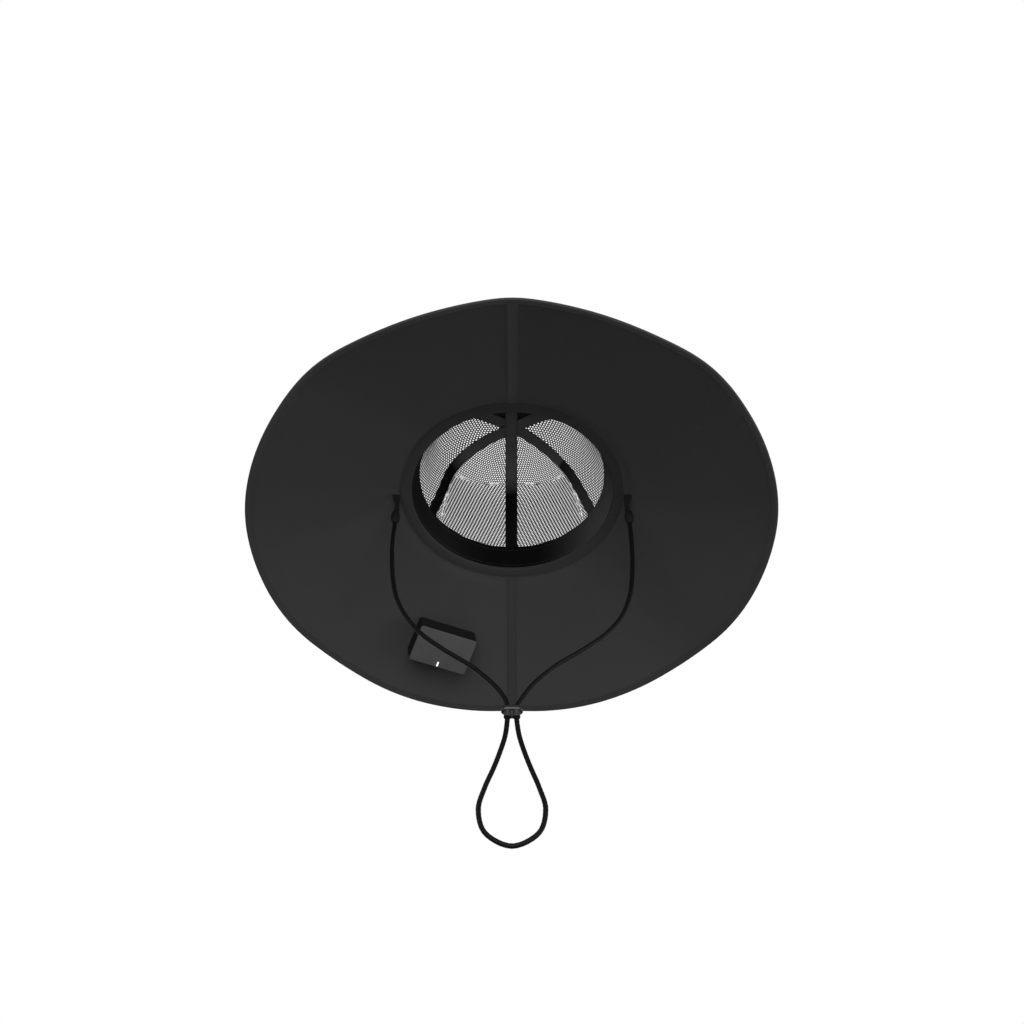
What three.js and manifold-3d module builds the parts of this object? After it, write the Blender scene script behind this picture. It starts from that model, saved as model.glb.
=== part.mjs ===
// A wide-brimmed sun hat: eight flat brim facets with a solar panel on each, a net crown of six gores
// with tapes over their seams, a power box under the brim and a chin cord with a two-hole toggle.
// Millimetres. The origin is the centre of the head opening at the brim's underside. +Z goes up into
// the crown, -Y is the front, and azimuths are degrees from the front towards +X.

import * as THREE from "three";
import Module from "manifold-3d";
import { mergeVertices } from "three/addons/utils/BufferGeometryUtils.js";

const wasm = await Module();
wasm.setup();

// Air between solids that lie on each other
const gap = 0.3;

// Head opening and brim
const headRadius = 91;
const brimRadius = 235;
const brimWall = 2;
const brimFacets = 8;
const brimFall = 0.345;
const seatWidth = 6;
const blendWidth = 13;
const facetStart = 92;
const rollRadius = 1.5;
const rollTuck = 4;
const rollTurn = 120;
const roundColumns = 48;

// Facing ring under the brim
const collarWidth = 9.5;
const collarThickness = 1;

// Solar panels on the facets
const panelInnerReach = 117;
const panelEdgeMargin = 9;
const panelSeamMargin = 4;
const panelThickness = 1.2;
const panelCorner = 5;

// Crown, from the sweatband outwards
const bandHeight = 25;
const bandWall = 1.2;
const tapeWidth = 10.5;
const tapeThickness = 1;
const netThickness = 1.2;
const goreCount = 6;
const crownHeight = 98.2;
const apexOpening = 1.5;
const tapeStackReach = 14;
const tapeStackBlend = 14;

// The soft dent in the crown's back right shoulder, along its profile and round it
const dentDepth = 8;
const dentAlong = 0.6;
const dentSpread = 0.16;
const dentAzimuth = 112;
const dentTurn = 30;
const dentEnd = 0.85;

// Power box under the back left facet
const boxAzimuth = -157.5;
const boxWidth = 56;
const boxLength = 36.5;
const boxHeight = 20;
const boxRimMargin = 48.2;
const boxSideShift = -1.6;
const boxCorner = 2.2;
const boxBevel = 1;
const lightLength = 5.4;
const lightWidth = 1.9;
const lightThickness = 0.8;
const lightCorner = 0.6;
const lightEdgeMargin = 0.4;
const portWidth = 9.2;
const portHeight = 3.6;
const portDepth = 8;
const portCorner = 1.4;

// Chin cord, its tabs, ends and toggle
const tabInset = 0.8;
const tabWidth = 7;
const tabThickness = 2.4;
const endWidth = 8.2;
const endDepth = 6.4;
const endHeight = 17;
const endSides = 12;
const leftEndInset = 1;
const rightEndInset = 0.4;
const cordTop = -43;
const cordDiameter = 4.1;
const cordClearance = 0.4;
const cordSides = 8;
const cordSteps = 80;
const toggleTop = -269.8;
const toggleSpacing = 7.2;
const flangeWidth = 17.2;
const flangeDepth = 8;
const flangeHeight = 4.8;
const flangeBevel = 1.1;
const flangeStraight = 0.02;
const barrelDiameter = 6;
const barrelLength = 6.4;
const barrelSides = 16;
const holeSides = 12;
const webSetback = 0.3;

// Inner face of the net, as shares of the crown's radius and height
const crownShape = [
  { radius: 1.0, height: 0.0 },
  { radius: 0.928, height: 0.23 },
  { radius: 0.8625, height: 0.376 },
  { radius: 0.804, height: 0.537 },
  { radius: 0.723, height: 0.74 },
  { radius: 0.632, height: 0.842 },
  { radius: 0.533, height: 0.909 },
  { radius: 0.424, height: 0.95 },
  { radius: 0.316, height: 0.976 },
  { radius: 0.158, height: 0.995 },
  { radius: 0.0, height: 1.0 },
];
const crownRows = 14;
const goreColumns = 8;

// Cord tab sections: drop as a share of its length, width and thickness of its own, shift of its width
const tabShape = [
  { drop: 0.0, width: 1.0, thickness: 0.6, shift: 0.0 },
  { drop: 0.35, width: 0.8, thickness: 0.8, shift: -0.14 },
  { drop: 0.75, width: 0.52, thickness: 1.0, shift: -0.28 },
  { drop: 1.0, width: 0.56, thickness: 1.0, shift: -0.22 },
];

// Cord end outline from its top down, as shares of its height and half its width
const endShape = [
  { drop: 0.0, radius: 0.5 },
  { drop: 0.12, radius: 0.62 },
  { drop: 0.42, radius: 0.96 },
  { drop: 0.56, radius: 1.0 },
  { drop: 0.74, radius: 0.96 },
  { drop: 0.92, radius: 0.7 },
  { drop: 1.0, radius: 0.54 },
];

// The cord's route in the plane of the ears between its two ends: x and z, from the left to the right
const cordRoute = [
  [-104.5, -66.0],
  [-104.0, -89.5],
  [-101.6, -118.0],
  [-97.0, -143.0],
  [-88.8, -164.0],
  [-75.0, -185.5],
  [-56.5, -203.8],
  [-31.7, -225.0],
  [-14.1, -245.7],
  [-5.7, -260.5],
  [-3.6, -269.8],
  [-3.6, -281.5],
  [-5.3, -300.3],
  [-9.4, -318.0],
  [-14.0, -334.0],
  [-20.6, -354.0],
  [-25.0, -375.0],
  [-19.5, -398.0],
  [0.0, -410.0],
  [19.5, -398.0],
  [25.0, -375.0],
  [20.6, -354.0],
  [14.3, -334.0],
  [9.7, -318.0],
  [5.6, -300.3],
  [3.6, -281.5],
  [3.6, -269.8],
  [7.3, -261.4],
  [17.3, -244.1],
  [36.0, -222.8],
  [56.0, -206.4],
  [76.7, -186.8],
  [91.3, -165.1],
  [99.5, -139.4],
  [103.2, -110.0],
  [104.7, -78.0],
];

// Steps along a curve when its length is measured, and the distance at which corners are one
const curveDivisions = 1000;
const weldDistance = 1e-4;

// Worked out from the sizes above
const degree = Math.PI / 180;
const facetAngle = 360 / brimFacets;
const goreAngle = 360 / goreCount;
const seatRadius = headRadius + seatWidth;
const slopeLength = Math.hypot(1, brimFall);
const crownRadius = headRadius + bandWall + gap + tapeThickness + gap;
const crownBase = brimWall + gap;
const bandInset = gap + tapeThickness + gap;

const finish = (color, roughness, metalness = 0) =>
  new THREE.MeshStandardMaterial({ color, roughness, metalness });

// Returns a closed geometry from a vertex list and triangles, turned so that its faces point outwards.
function closedGeometry(points, triangles) {
  let volume = 0;
  const cross = new THREE.Vector3();
  for (const [a, b, c] of triangles) {
    volume += points[a].dot(cross.crossVectors(points[b], points[c]));
  }
  const outward = volume > 0 ? triangles : triangles.map(([a, b, c]) => [a, c, b]);
  const geometry = new THREE.BufferGeometry().setFromPoints(points);
  geometry.setIndex(outward.flat());
  geometry.computeVertexNormals();
  return geometry;
}

// Joins a row of closed sections that have the same number of points. A ring joins the last section
// to the first. Otherwise each end is closed by a ladder between the two halves of its section.
function sweptSolid(sections, isRing) {
  const count = sections[0].length;
  const triangles = [];
  const spans = isRing ? sections.length : sections.length - 1;
  for (let i = 0; i < spans; i += 1) {
    const here = i * count;
    const next = ((i + 1) % sections.length) * count;
    for (let k = 0; k < count; k += 1) {
      const after = (k + 1) % count;
      triangles.push([here + k, here + after, next + after]);
      triangles.push([here + k, next + after, next + k]);
    }
  }
  if (!isRing) {
    const last = (sections.length - 1) * count;
    for (let k = 0; k < count / 2 - 1; k += 1) {
      const mirror = count - 1 - k;
      triangles.push([k, mirror, k + 1]);
      triangles.push([k + 1, mirror, mirror - 1]);
      triangles.push([last + k, last + k + 1, last + mirror]);
      triangles.push([last + k + 1, last + mirror - 1, last + mirror]);
    }
  }
  return closedGeometry(sections.flat(), triangles);
}

// Turns a closed geometry into a solid that can be cut or joined.
function toSolid(geometry) {
  const bare = geometry.clone();
  bare.deleteAttribute("normal");
  bare.deleteAttribute("uv");
  const merged = mergeVertices(bare, weldDistance);
  return new wasm.Manifold(
    new wasm.Mesh({
      numProp: 3,
      vertProperties: new Float32Array(merged.attributes.position.array),
      triVerts: new Uint32Array(merged.index.array),
    }),
  );
}

function toGeometry(solid) {
  const mesh = solid.getMesh();
  const geometry = new THREE.BufferGeometry();
  geometry.setAttribute("position", new THREE.BufferAttribute(mesh.vertProperties, 3));
  geometry.setIndex(new THREE.BufferAttribute(mesh.triVerts, 1));
  geometry.computeVertexNormals();
  return geometry;
}

// A rectangle with round corners, centred on the origin.
function roundedRectangle(width, length, radius) {
  const shape = new THREE.Shape();
  const x = width / 2 - radius;
  const y = length / 2 - radius;
  shape.absarc(x, y, radius, 0, Math.PI / 2);
  shape.absarc(-x, y, radius, Math.PI / 2, Math.PI);
  shape.absarc(-x, -y, radius, Math.PI, 1.5 * Math.PI);
  shape.absarc(x, -y, radius, 1.5 * Math.PI, 2 * Math.PI);
  return shape;
}

// A regular polygon with its corners on the given radius.
function polygonShape(radius, sides) {
  const corners = [];
  for (let k = 0; k < sides; k += 1) {
    const angle = (k * 2 * Math.PI) / sides;
    corners.push(new THREE.Vector2(radius * Math.cos(angle), radius * Math.sin(angle)));
  }
  return new THREE.Shape(corners);
}

function aroundAxis(radius, azimuth, z) {
  return new THREE.Vector3(radius * Math.sin(azimuth * degree), -radius * Math.cos(azimuth * degree), z);
}

// Brim: how far outwards a point lies along the middle line of the facet that it is on
function facetReach(radius, azimuth) {
  const turn = ((azimuth % facetAngle) + facetAngle) % facetAngle;
  return radius * Math.cos((turn - facetAngle / 2) * degree);
}

// Share of the facets' shape: none on the flat seat round the opening, all of it past the blend
function facetShare(radius) {
  return THREE.MathUtils.smoothstep(radius, seatRadius, seatRadius + blendWidth);
}

function undersideHeight(radius, azimuth) {
  return -brimFall * (facetReach(radius, azimuth) - facetStart) * facetShare(radius);
}

function wallHeight(radius) {
  return brimWall * (1 + (slopeLength - 1) * facetShare(radius));
}

function brimSection(azimuth) {
  const blendRows = 3;
  const rollSteps = 4;
  const radii = [headRadius];
  for (let k = 0; k <= blendRows; k += 1) radii.push(seatRadius + (blendWidth * k) / blendRows);
  radii.push(brimRadius - rollTuck);
  const under = radii.map((radius) => aroundAxis(radius, azimuth, undersideHeight(radius, azimuth)));
  const over = radii.map((radius) =>
    aroundAxis(radius, azimuth, undersideHeight(radius, azimuth) + wallHeight(radius)),
  );
  const rollCentre = brimRadius - rollRadius;
  const rollHeight = undersideHeight(rollCentre, azimuth) + wallHeight(rollCentre) / 2;
  const roll = [];
  for (let k = 0; k <= rollSteps; k += 1) {
    const angle = rollTurn * ((2 * k) / rollSteps - 1) * degree;
    const radius = rollCentre + rollRadius * Math.cos(angle);
    roll.push(aroundAxis(radius, azimuth, rollHeight + rollRadius * Math.sin(angle)));
  }
  return [...under, ...roll, ...over.reverse()];
}

function ringOfSections(sectionAt) {
  const sections = [];
  for (let k = 0; k < roundColumns; k += 1) sections.push(sectionAt((k * 360) / roundColumns));
  return sweptSolid(sections, true);
}

function collarSection(azimuth) {
  const radii = [headRadius, seatRadius, headRadius + collarWidth];
  const top = radii.map((radius) => aroundAxis(radius, azimuth, undersideHeight(radius, azimuth) - gap));
  const bottom = radii.map((radius) =>
    aroundAxis(radius, azimuth, undersideHeight(radius, azimuth) - gap - collarThickness),
  );
  return [...top, ...bottom.reverse()];
}

// A facet's own frame: x along the brim's round, y outwards down the slope, z square to its face
function facetFrame(azimuth) {
  const outward = aroundAxis(1, azimuth, -brimFall).normalize();
  const normal = aroundAxis(brimFall, azimuth, 1).normalize();
  const along = new THREE.Vector3().crossVectors(outward, normal);
  const origin = aroundAxis(facetStart, azimuth, 0);
  return new THREE.Matrix4().makeBasis(along, outward, normal).setPosition(origin);
}

// How far down a facet's slope its middle line has come at the given reach
function slopeAt(reach) {
  return (reach - facetStart) * slopeLength;
}

function solarPanelShape() {
  const outerRadius = brimRadius - panelEdgeMargin;
  const halfAngle = (facetAngle / 2) * degree;
  const seamOffset = panelSeamMargin / Math.cos(halfAngle);
  const halfWidthAt = (reach) => reach * Math.tan(halfAngle) - seamOffset;
  const innerHalf = halfWidthAt(panelInnerReach);
  const outerAngle = halfAngle - Math.asin(panelSeamMargin / outerRadius);
  const cornerTurn = panelCorner / outerRadius;
  const onArc = (angle) => [outerRadius * Math.sin(angle), slopeAt(outerRadius * Math.cos(angle))];
  const sideStep = panelCorner * Math.cos(halfAngle);
  const outerReach = outerRadius * Math.cos(outerAngle);
  const shape = new THREE.Shape();
  shape.moveTo(-innerHalf + panelCorner, slopeAt(panelInnerReach));
  shape.lineTo(innerHalf - panelCorner, slopeAt(panelInnerReach));
  shape.quadraticCurveTo(
    innerHalf,
    slopeAt(panelInnerReach),
    halfWidthAt(panelInnerReach + sideStep),
    slopeAt(panelInnerReach + sideStep),
  );
  shape.lineTo(halfWidthAt(outerReach - sideStep), slopeAt(outerReach - sideStep));
  shape.quadraticCurveTo(...onArc(outerAngle), ...onArc(outerAngle - cornerTurn));
  const arcSteps = 6;
  for (let k = 1; k <= arcSteps; k += 1) {
    shape.lineTo(...onArc((outerAngle - cornerTurn) * (1 - (2 * k) / arcSteps)));
  }
  shape.quadraticCurveTo(
    ...onArc(-outerAngle),
    -halfWidthAt(outerReach - sideStep),
    slopeAt(outerReach - sideStep),
  );
  shape.lineTo(-halfWidthAt(panelInnerReach + sideStep), slopeAt(panelInnerReach + sideStep));
  shape.quadraticCurveTo(
    -innerHalf,
    slopeAt(panelInnerReach),
    -innerHalf + panelCorner,
    slopeAt(panelInnerReach),
  );
  return shape;
}

function solarPanelGeometry(azimuth) {
  const geometry = new THREE.ExtrudeGeometry(solarPanelShape(), {
    depth: panelThickness,
    bevelEnabled: false,
    curveSegments: 3,
  });
  geometry.translate(0, 0, brimWall + gap);
  return geometry.applyMatrix4(facetFrame(azimuth));
}

// Crown: the net's inner face runs over the whole dome, from brim to apex and down again
const crownHalf = crownShape.map(
  (row) => new THREE.Vector3(row.radius * crownRadius, 0, crownBase + row.height * crownHeight),
);
const crownMirror = crownHalf
  .slice(0, -1)
  .reverse()
  .map((point) => new THREE.Vector3(-point.x, 0, point.z));
const crownCurve = new THREE.CatmullRomCurve3([...crownHalf, ...crownMirror], false, "centripetal");
crownCurve.arcLengthDivisions = curveDivisions;

function dentAt(along, azimuth) {
  const turn = ((((azimuth - dentAzimuth + 180) % 360) + 360) % 360) - 180;
  const share = Math.exp(-(((along - dentAlong) / dentSpread) ** 2 + (turn / dentTurn) ** 2) / 2);
  return dentDepth * share * (1 - THREE.MathUtils.smoothstep(along, dentEnd, 1));
}

// A point inside the net's inner face. along is 0 at the brim and 1 at the apex.
function crownPoint(along, azimuth, depth) {
  const inset = depth + dentAt(along, azimuth);
  const point = crownCurve.getPointAt(along / 2);
  const tangent = crownCurve.getTangentAt(along / 2);
  const radius = Math.max(point.x - inset * tangent.z, 0);
  const height = point.z + inset * tangent.x;
  return aroundAxis(radius, azimuth, Math.max(height, crownBase));
}

// Finds where on the crown a value falls to, by halving: radius and height both run one way only
function crownAlong(isPast) {
  const halvings = 40;
  let low = 0;
  let high = 1;
  for (let k = 0; k < halvings; k += 1) {
    const middle = (low + high) / 2;
    if (isPast(crownCurve.getPointAt(middle / 2))) high = middle;
    else low = middle;
  }
  return (low + high) / 2;
}

const alongAtRadius = (radius) => crownAlong((point) => point.x <= radius);
const bandTopAlong = crownAlong((point) => point.z >= bandHeight);

function goreGeometry(firstAzimuth) {
  const lastAlong = alongAtRadius(apexOpening);
  const sections = [];
  for (let i = 0; i <= crownRows; i += 1) {
    const along = Math.min(i / crownRows, lastAlong);
    const faces = [0, -netThickness].map((inset) => {
      const radius = Math.hypot(crownPoint(along, 0, inset).x, crownPoint(along, 0, inset).y);
      const trim = Math.asin(gap / 2 / radius) / degree;
      const row = [];
      for (let j = 0; j <= goreColumns; j += 1) {
        const azimuth = firstAzimuth + trim + ((goreAngle - 2 * trim) * j) / goreColumns;
        row.push(crownPoint(along, azimuth, inset));
      }
      return row;
    });
    sections.push([...faces[0], ...faces[1].reverse()]);
  }
  return sweptSolid(sections, false);
}

// A tape runs from brim to brim over the apex. Its edges keep to the dome: low down they lie at its
// middle's height, and near the apex straight beside it. Where tapes cross, each next one lies lower.
function tapeGeometry(azimuth, layer) {
  const straightEnd = 3 * tapeWidth;
  const stations = [];
  for (let i = 0; i < crownRows; i += 1) stations.push(i / crownRows);
  const besideApex = (crownRows - 0.5) / crownRows;
  stations.push(besideApex);
  const wholeRun = [
    ...stations.map((along) => ({ along, side: 1 })),
    { along: 1, side: 1 },
    ...stations.reverse().map((along) => ({ along, side: -1 })),
  ];
  const sections = wholeRun.map(({ along, side }) => {
    const run = Math.max(crownCurve.getPointAt(along / 2).x, 0);
    const straight = 1 - THREE.MathUtils.smoothstep(run, tapeWidth, straightEnd);
    const section = [];
    for (const face of [0, 1]) {
      const row = [];
      for (const lateral of [-tapeWidth / 2, 0, tapeWidth / 2]) {
        const radius = Math.sqrt(run * run + lateral * lateral * straight);
        const forward = Math.sqrt(Math.max(radius * radius - lateral * lateral, 0));
        const turn = Math.atan2(lateral, side * forward) / degree;
        const stack = 1 - THREE.MathUtils.smoothstep(radius, tapeStackReach, tapeStackReach + tapeStackBlend);
        const outside = gap + layer * stack * (tapeThickness + gap);
        const at = straight > 0 ? alongAtRadius(radius) : along;
        row.push(crownPoint(at, azimuth + turn, outside + face * tapeThickness));
      }
      section.push(...(face ? row.reverse() : row));
    }
    return section;
  });
  return sweptSolid(sections, false);
}

function bandSection(azimuth) {
  const stations = [];
  for (let i = 0; i / crownRows < bandTopAlong; i += 1) stations.push(i / crownRows);
  stations.push(bandTopAlong);
  const outer = stations.map((along) => crownPoint(along, azimuth, bandInset));
  const inner = stations.map((along) => crownPoint(along, azimuth, bandInset + bandWall));
  return [...outer, ...inner.reverse()];
}

// Power box: its face looks away from the brim, so it is drawn upside down and turned over
function powerBoxGeometry() {
  const body = new THREE.ExtrudeGeometry(
    roundedRectangle(boxWidth - 2 * boxBevel, boxLength - 2 * boxBevel, boxCorner - boxBevel),
    {
      depth: boxHeight - boxBevel,
      bevelThickness: boxBevel,
      bevelSize: boxBevel,
      bevelSegments: 2,
      curveSegments: 4,
    },
  );
  body.translate(0, 0, -boxHeight + boxBevel);
  // The bevel at the brim side is cut off square, so that the base lies flat on the facet
  const trim = new THREE.BoxGeometry(2 * boxWidth, 2 * boxLength, 2 * boxBevel).translate(0, 0, boxBevel);
  const portCut = new THREE.ExtrudeGeometry(roundedRectangle(portWidth, portHeight, portCorner), {
    depth: 2 * portDepth,
    bevelEnabled: false,
    curveSegments: 3,
  });
  portCut.translate(0, 0, -portDepth);
  portCut.rotateX(Math.PI / 2);
  portCut.translate(0, boxLength / 2, -boxHeight / 2);
  const lightCut = new THREE.BoxGeometry(
    lightWidth + 2 * gap,
    lightLength + 2 * gap,
    2 * (lightThickness + gap),
  ).translate(0, lightCentre(), -boxHeight);
  const solid = toSolid(body).subtract(toSolid(trim)).subtract(toSolid(portCut)).subtract(toSolid(lightCut));
  return toGeometry(solid).applyMatrix4(boxFrame());
}

function lightCentre() {
  return boxLength / 2 - boxBevel - lightEdgeMargin - lightLength / 2;
}

function boxFrame() {
  const slopeCentre = slopeAt(brimRadius) - boxRimMargin - boxLength / 2;
  const place = new THREE.Matrix4().makeTranslation(boxSideShift, slopeCentre, -gap);
  return facetFrame(boxAzimuth).multiply(place);
}

function indicatorGeometry() {
  const bar = new THREE.ExtrudeGeometry(roundedRectangle(lightWidth, lightLength, lightCorner), {
    depth: lightThickness,
    bevelEnabled: false,
    curveSegments: 3,
  });
  bar.translate(0, lightCentre(), -boxHeight);
  return bar.applyMatrix4(boxFrame());
}

// Chin cord's fittings: side is -1 on the left and 1 on the right
const tabCentre = headRadius + collarWidth + tabInset + tabWidth / 2;
const tabTurn = tabThickness / 2 / tabCentre / degree;
const tabTop = undersideHeight(tabCentre + tabWidth / 2, 90 + tabTurn) - gap;
const endTop = cordTop + gap + endHeight;
const tabBottom = endTop + gap;
const leftEndPlace = -(tabCentre - leftEndInset);
const rightEndPlace = tabCentre - rightEndInset;

function tabGeometry(side) {
  const sections = tabShape.map((row) => {
    const centre = tabCentre + row.shift * tabWidth;
    const z = THREE.MathUtils.lerp(tabTop, tabBottom, row.drop);
    const halfWidth = (row.width * tabWidth) / 2;
    const halfThickness = (row.thickness * tabThickness) / 2;
    return [
      new THREE.Vector3(side * (centre - halfWidth), -halfThickness, z),
      new THREE.Vector3(side * (centre + halfWidth), -halfThickness, z),
      new THREE.Vector3(side * (centre + halfWidth), halfThickness, z),
      new THREE.Vector3(side * (centre - halfWidth), halfThickness, z),
    ];
  });
  return sweptSolid(sections, false);
}

function cordEndGeometry(x) {
  const halfWidth = endWidth / 2;
  const profile = endShape.map((row) => new THREE.Vector2(row.radius * halfWidth, -row.drop * endHeight));
  profile.unshift(new THREE.Vector2(0, 0));
  profile.push(new THREE.Vector2(0, -endHeight));
  const lathe = new THREE.LatheGeometry(profile.reverse(), endSides);
  lathe.rotateX(Math.PI / 2);
  lathe.scale(1, endDepth / endWidth, 1);
  return lathe.translate(x, 0, endTop);
}

function toggleGeometry() {
  const flangeShape = roundedRectangle(
    flangeWidth - 2 * flangeBevel,
    flangeDepth - 2 * flangeBevel,
    (flangeDepth - flangeStraight) / 2 - flangeBevel,
  );
  const flange = new THREE.ExtrudeGeometry(flangeShape, {
    depth: flangeHeight - 2 * flangeBevel,
    bevelThickness: flangeBevel,
    bevelSize: flangeBevel,
    bevelSegments: 2,
    curveSegments: 5,
  });
  flange.translate(0, 0, toggleTop - flangeHeight + flangeBevel);
  const barrelBottom = toggleTop - flangeHeight - barrelLength;
  const barrelTop = toggleTop - flangeHeight / 2;
  const webHeight = barrelTop - barrelBottom - webSetback;
  const web = new THREE.BoxGeometry(toggleSpacing, barrelDiameter / 2, webHeight);
  web.translate(0, 0, barrelTop - webHeight / 2);
  const holeCentres = [-toggleSpacing / 2, toggleSpacing / 2];
  let solid = toSolid(flange).add(toSolid(web));
  for (const x of holeCentres) {
    const barrel = new THREE.ExtrudeGeometry(polygonShape(barrelDiameter / 2, barrelSides), {
      depth: barrelTop - barrelBottom,
      bevelEnabled: false,
    });
    solid = solid.add(toSolid(barrel.translate(x, 0, barrelBottom)));
  }
  const holeRadius = (cordDiameter / 2 + cordClearance) / Math.cos(Math.PI / holeSides);
  const holeOverrun = flangeHeight;
  for (const x of holeCentres) {
    const hole = new THREE.ExtrudeGeometry(polygonShape(holeRadius, holeSides), {
      depth: toggleTop - barrelBottom + 2 * holeOverrun,
      bevelEnabled: false,
    });
    solid = solid.subtract(toSolid(hole.translate(x, 0, barrelBottom - holeOverrun)));
  }
  return toGeometry(solid);
}

function cordGeometry() {
  const wholeRoute = [[leftEndPlace, cordTop], ...cordRoute, [rightEndPlace, cordTop]];
  const points = wholeRoute.map(([x, z]) => new THREE.Vector3(x, 0, z));
  const path = new THREE.CatmullRomCurve3(points, false, "centripetal");
  path.arcLengthDivisions = curveDivisions;
  return new THREE.ExtrudeGeometry(polygonShape(cordDiameter / 2, cordSides), {
    steps: cordSteps,
    extrudePath: path,
    bevelEnabled: false,
  });
}

// The pieces
const hat = new THREE.Group();

function addPiece(name, geometry, material) {
  const mesh = new THREE.Mesh(geometry, material);
  mesh.name = name;
  hat.add(mesh);
}

const brimCloth = finish("#2b2b2c", 0.85);
const collarCloth = finish("#222223", 0.88);
const panelLaminate = finish("#0d1018", 0.3);
const netCloth = finish("#1d1d1e", 0.8);
const frontCloth = finish("#222223", 0.85);
const tapeCloth = finish("#121213", 0.8);
const bandCloth = finish("#0e0e0f", 0.75);
const boxPlastic = finish("#3c3c3d", 0.6);
const lightPlastic = finish("#f2f2f2", 0.4);
const tabCloth = finish("#191919", 0.8);
const endPlastic = finish("#1b1b1b", 0.55);
const togglePlastic = finish("#161616", 0.25);
const cordBraid = finish("#0c0c0c", 0.7);

addPiece("brim", ringOfSections(brimSection), brimCloth);
addPiece("brim_collar", ringOfSections(collarSection), collarCloth);
for (let k = 0; k < brimFacets; k += 1) {
  addPiece(`solar_panel_${k + 1}`, solarPanelGeometry((k + 0.5) * facetAngle), panelLaminate);
}
for (let k = 0; k < goreCount; k += 1) {
  const isFront = k === 0 || k === goreCount - 1;
  addPiece(`crown_panel_${k + 1}`, goreGeometry(k * goreAngle), isFront ? frontCloth : netCloth);
}
const tapeTable = [
  { name: "crown_tape_1", azimuth: 0, layer: 2 },
  { name: "crown_tape_2", azimuth: goreAngle, layer: 1 },
  { name: "crown_tape_3", azimuth: 2 * goreAngle, layer: 0 },
];
for (const row of tapeTable) {
  addPiece(row.name, tapeGeometry(row.azimuth, row.layer), tapeCloth);
}
addPiece("sweatband", ringOfSections(bandSection), bandCloth);
addPiece("power_box", powerBoxGeometry(), boxPlastic);
addPiece("power_box_indicator", indicatorGeometry(), lightPlastic);
addPiece("cord_tab_left", tabGeometry(-1), tabCloth);
addPiece("cord_tab_right", tabGeometry(1), tabCloth);
addPiece("cord_end_left", cordEndGeometry(leftEndPlace), endPlastic);
addPiece("cord_end_right", cordEndGeometry(rightEndPlace), endPlastic);
addPiece("chin_toggle", toggleGeometry(), togglePlastic);
addPiece("chin_cord", cordGeometry(), cordBraid);

export default hat;
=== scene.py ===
import math

import bmesh
import bpy
import numpy as np
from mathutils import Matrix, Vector


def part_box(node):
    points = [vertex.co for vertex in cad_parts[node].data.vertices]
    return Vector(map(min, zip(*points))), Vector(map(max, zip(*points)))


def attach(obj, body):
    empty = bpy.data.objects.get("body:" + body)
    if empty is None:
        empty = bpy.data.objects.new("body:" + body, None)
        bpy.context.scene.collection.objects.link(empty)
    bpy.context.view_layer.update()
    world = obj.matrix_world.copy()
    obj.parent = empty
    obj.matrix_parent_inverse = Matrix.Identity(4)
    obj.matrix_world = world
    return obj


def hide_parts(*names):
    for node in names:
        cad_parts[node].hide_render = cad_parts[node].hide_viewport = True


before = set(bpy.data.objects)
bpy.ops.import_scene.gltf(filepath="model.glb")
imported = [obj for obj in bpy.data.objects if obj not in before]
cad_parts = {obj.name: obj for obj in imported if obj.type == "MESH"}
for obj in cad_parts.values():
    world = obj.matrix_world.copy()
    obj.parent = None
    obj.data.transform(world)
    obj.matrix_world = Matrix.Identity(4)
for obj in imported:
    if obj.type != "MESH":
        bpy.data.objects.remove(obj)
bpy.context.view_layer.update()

# Lengths are millimetres until a mesh is made, and azimuths are degrees from the front towards +X
MM = 0.001
BODY = "root"

# Head opening and brim, as in the frame
GAP = 0.3
HEAD_RADIUS = 91.0
BRIM_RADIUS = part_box("brim")[1].x / MM
BRIM_WALL = 2.0
FACETS = 8
FACET_ANGLE = 360.0 / FACETS
BRIM_FALL = 0.345
SEAT_RADIUS = 97.0
BLEND_WIDTH = 13.0
SLOPE_START = SEAT_RADIUS + BLEND_WIDTH  # the cloth lies on the facets from here out
FACET_START = 92.0  # and the facets' own planes would reach the level of the head opening here
ROLL_RADIUS = 1.5
COLLAR_WIDTH = 9.5
COLLAR_THICKNESS = 1.0
PANEL_THICKNESS = 1.2

# The brim's cloth bends round a seam over this many degrees on each side, and less where a tape stiffens it
SEAM_BEND = 8.0
TAPED_SEAM_BEND = 4.0

# Each face of the brim lies a little inside the flat wall, and moves by a share of the cloth's swell
UNDER_INSET = 0.2
UNDER_SWELL = 0.4
OVER_INSET = 0.1
OVER_SWELL = 0.1
CLOTH_ROLL = ROLL_RADIUS - 0.4  # radius of the cloth's rolled rim, under its binding

# The real rim is soft: how far it hangs below the flat facets and stands out from them, every 15 degrees
RIM_DROP = (
    -0.3, 0.5, 1.3, -0.3, -0.3, 0.4, 0.3, -0.3, 0.7, 0.7, 0.3, 0.8,
    1.4, 0.8, 0.9, 1.2, 1.2, 0.5, 0.7, 0.5, -0.3, -0.3, 1.1, 0.8,
)
RIM_REACH = (
    0.4, -0.3, -0.6, 1.1, 0.1, -0.3, 0.6, -0.1, 0.2, 0.5, 0.1, 0.4,
    0.7, 0.4, 0.6, 0.8, 0.7, 0.7, 1.3, 0.1, 0.1, 1.2, -0.4, -0.3,
)

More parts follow.
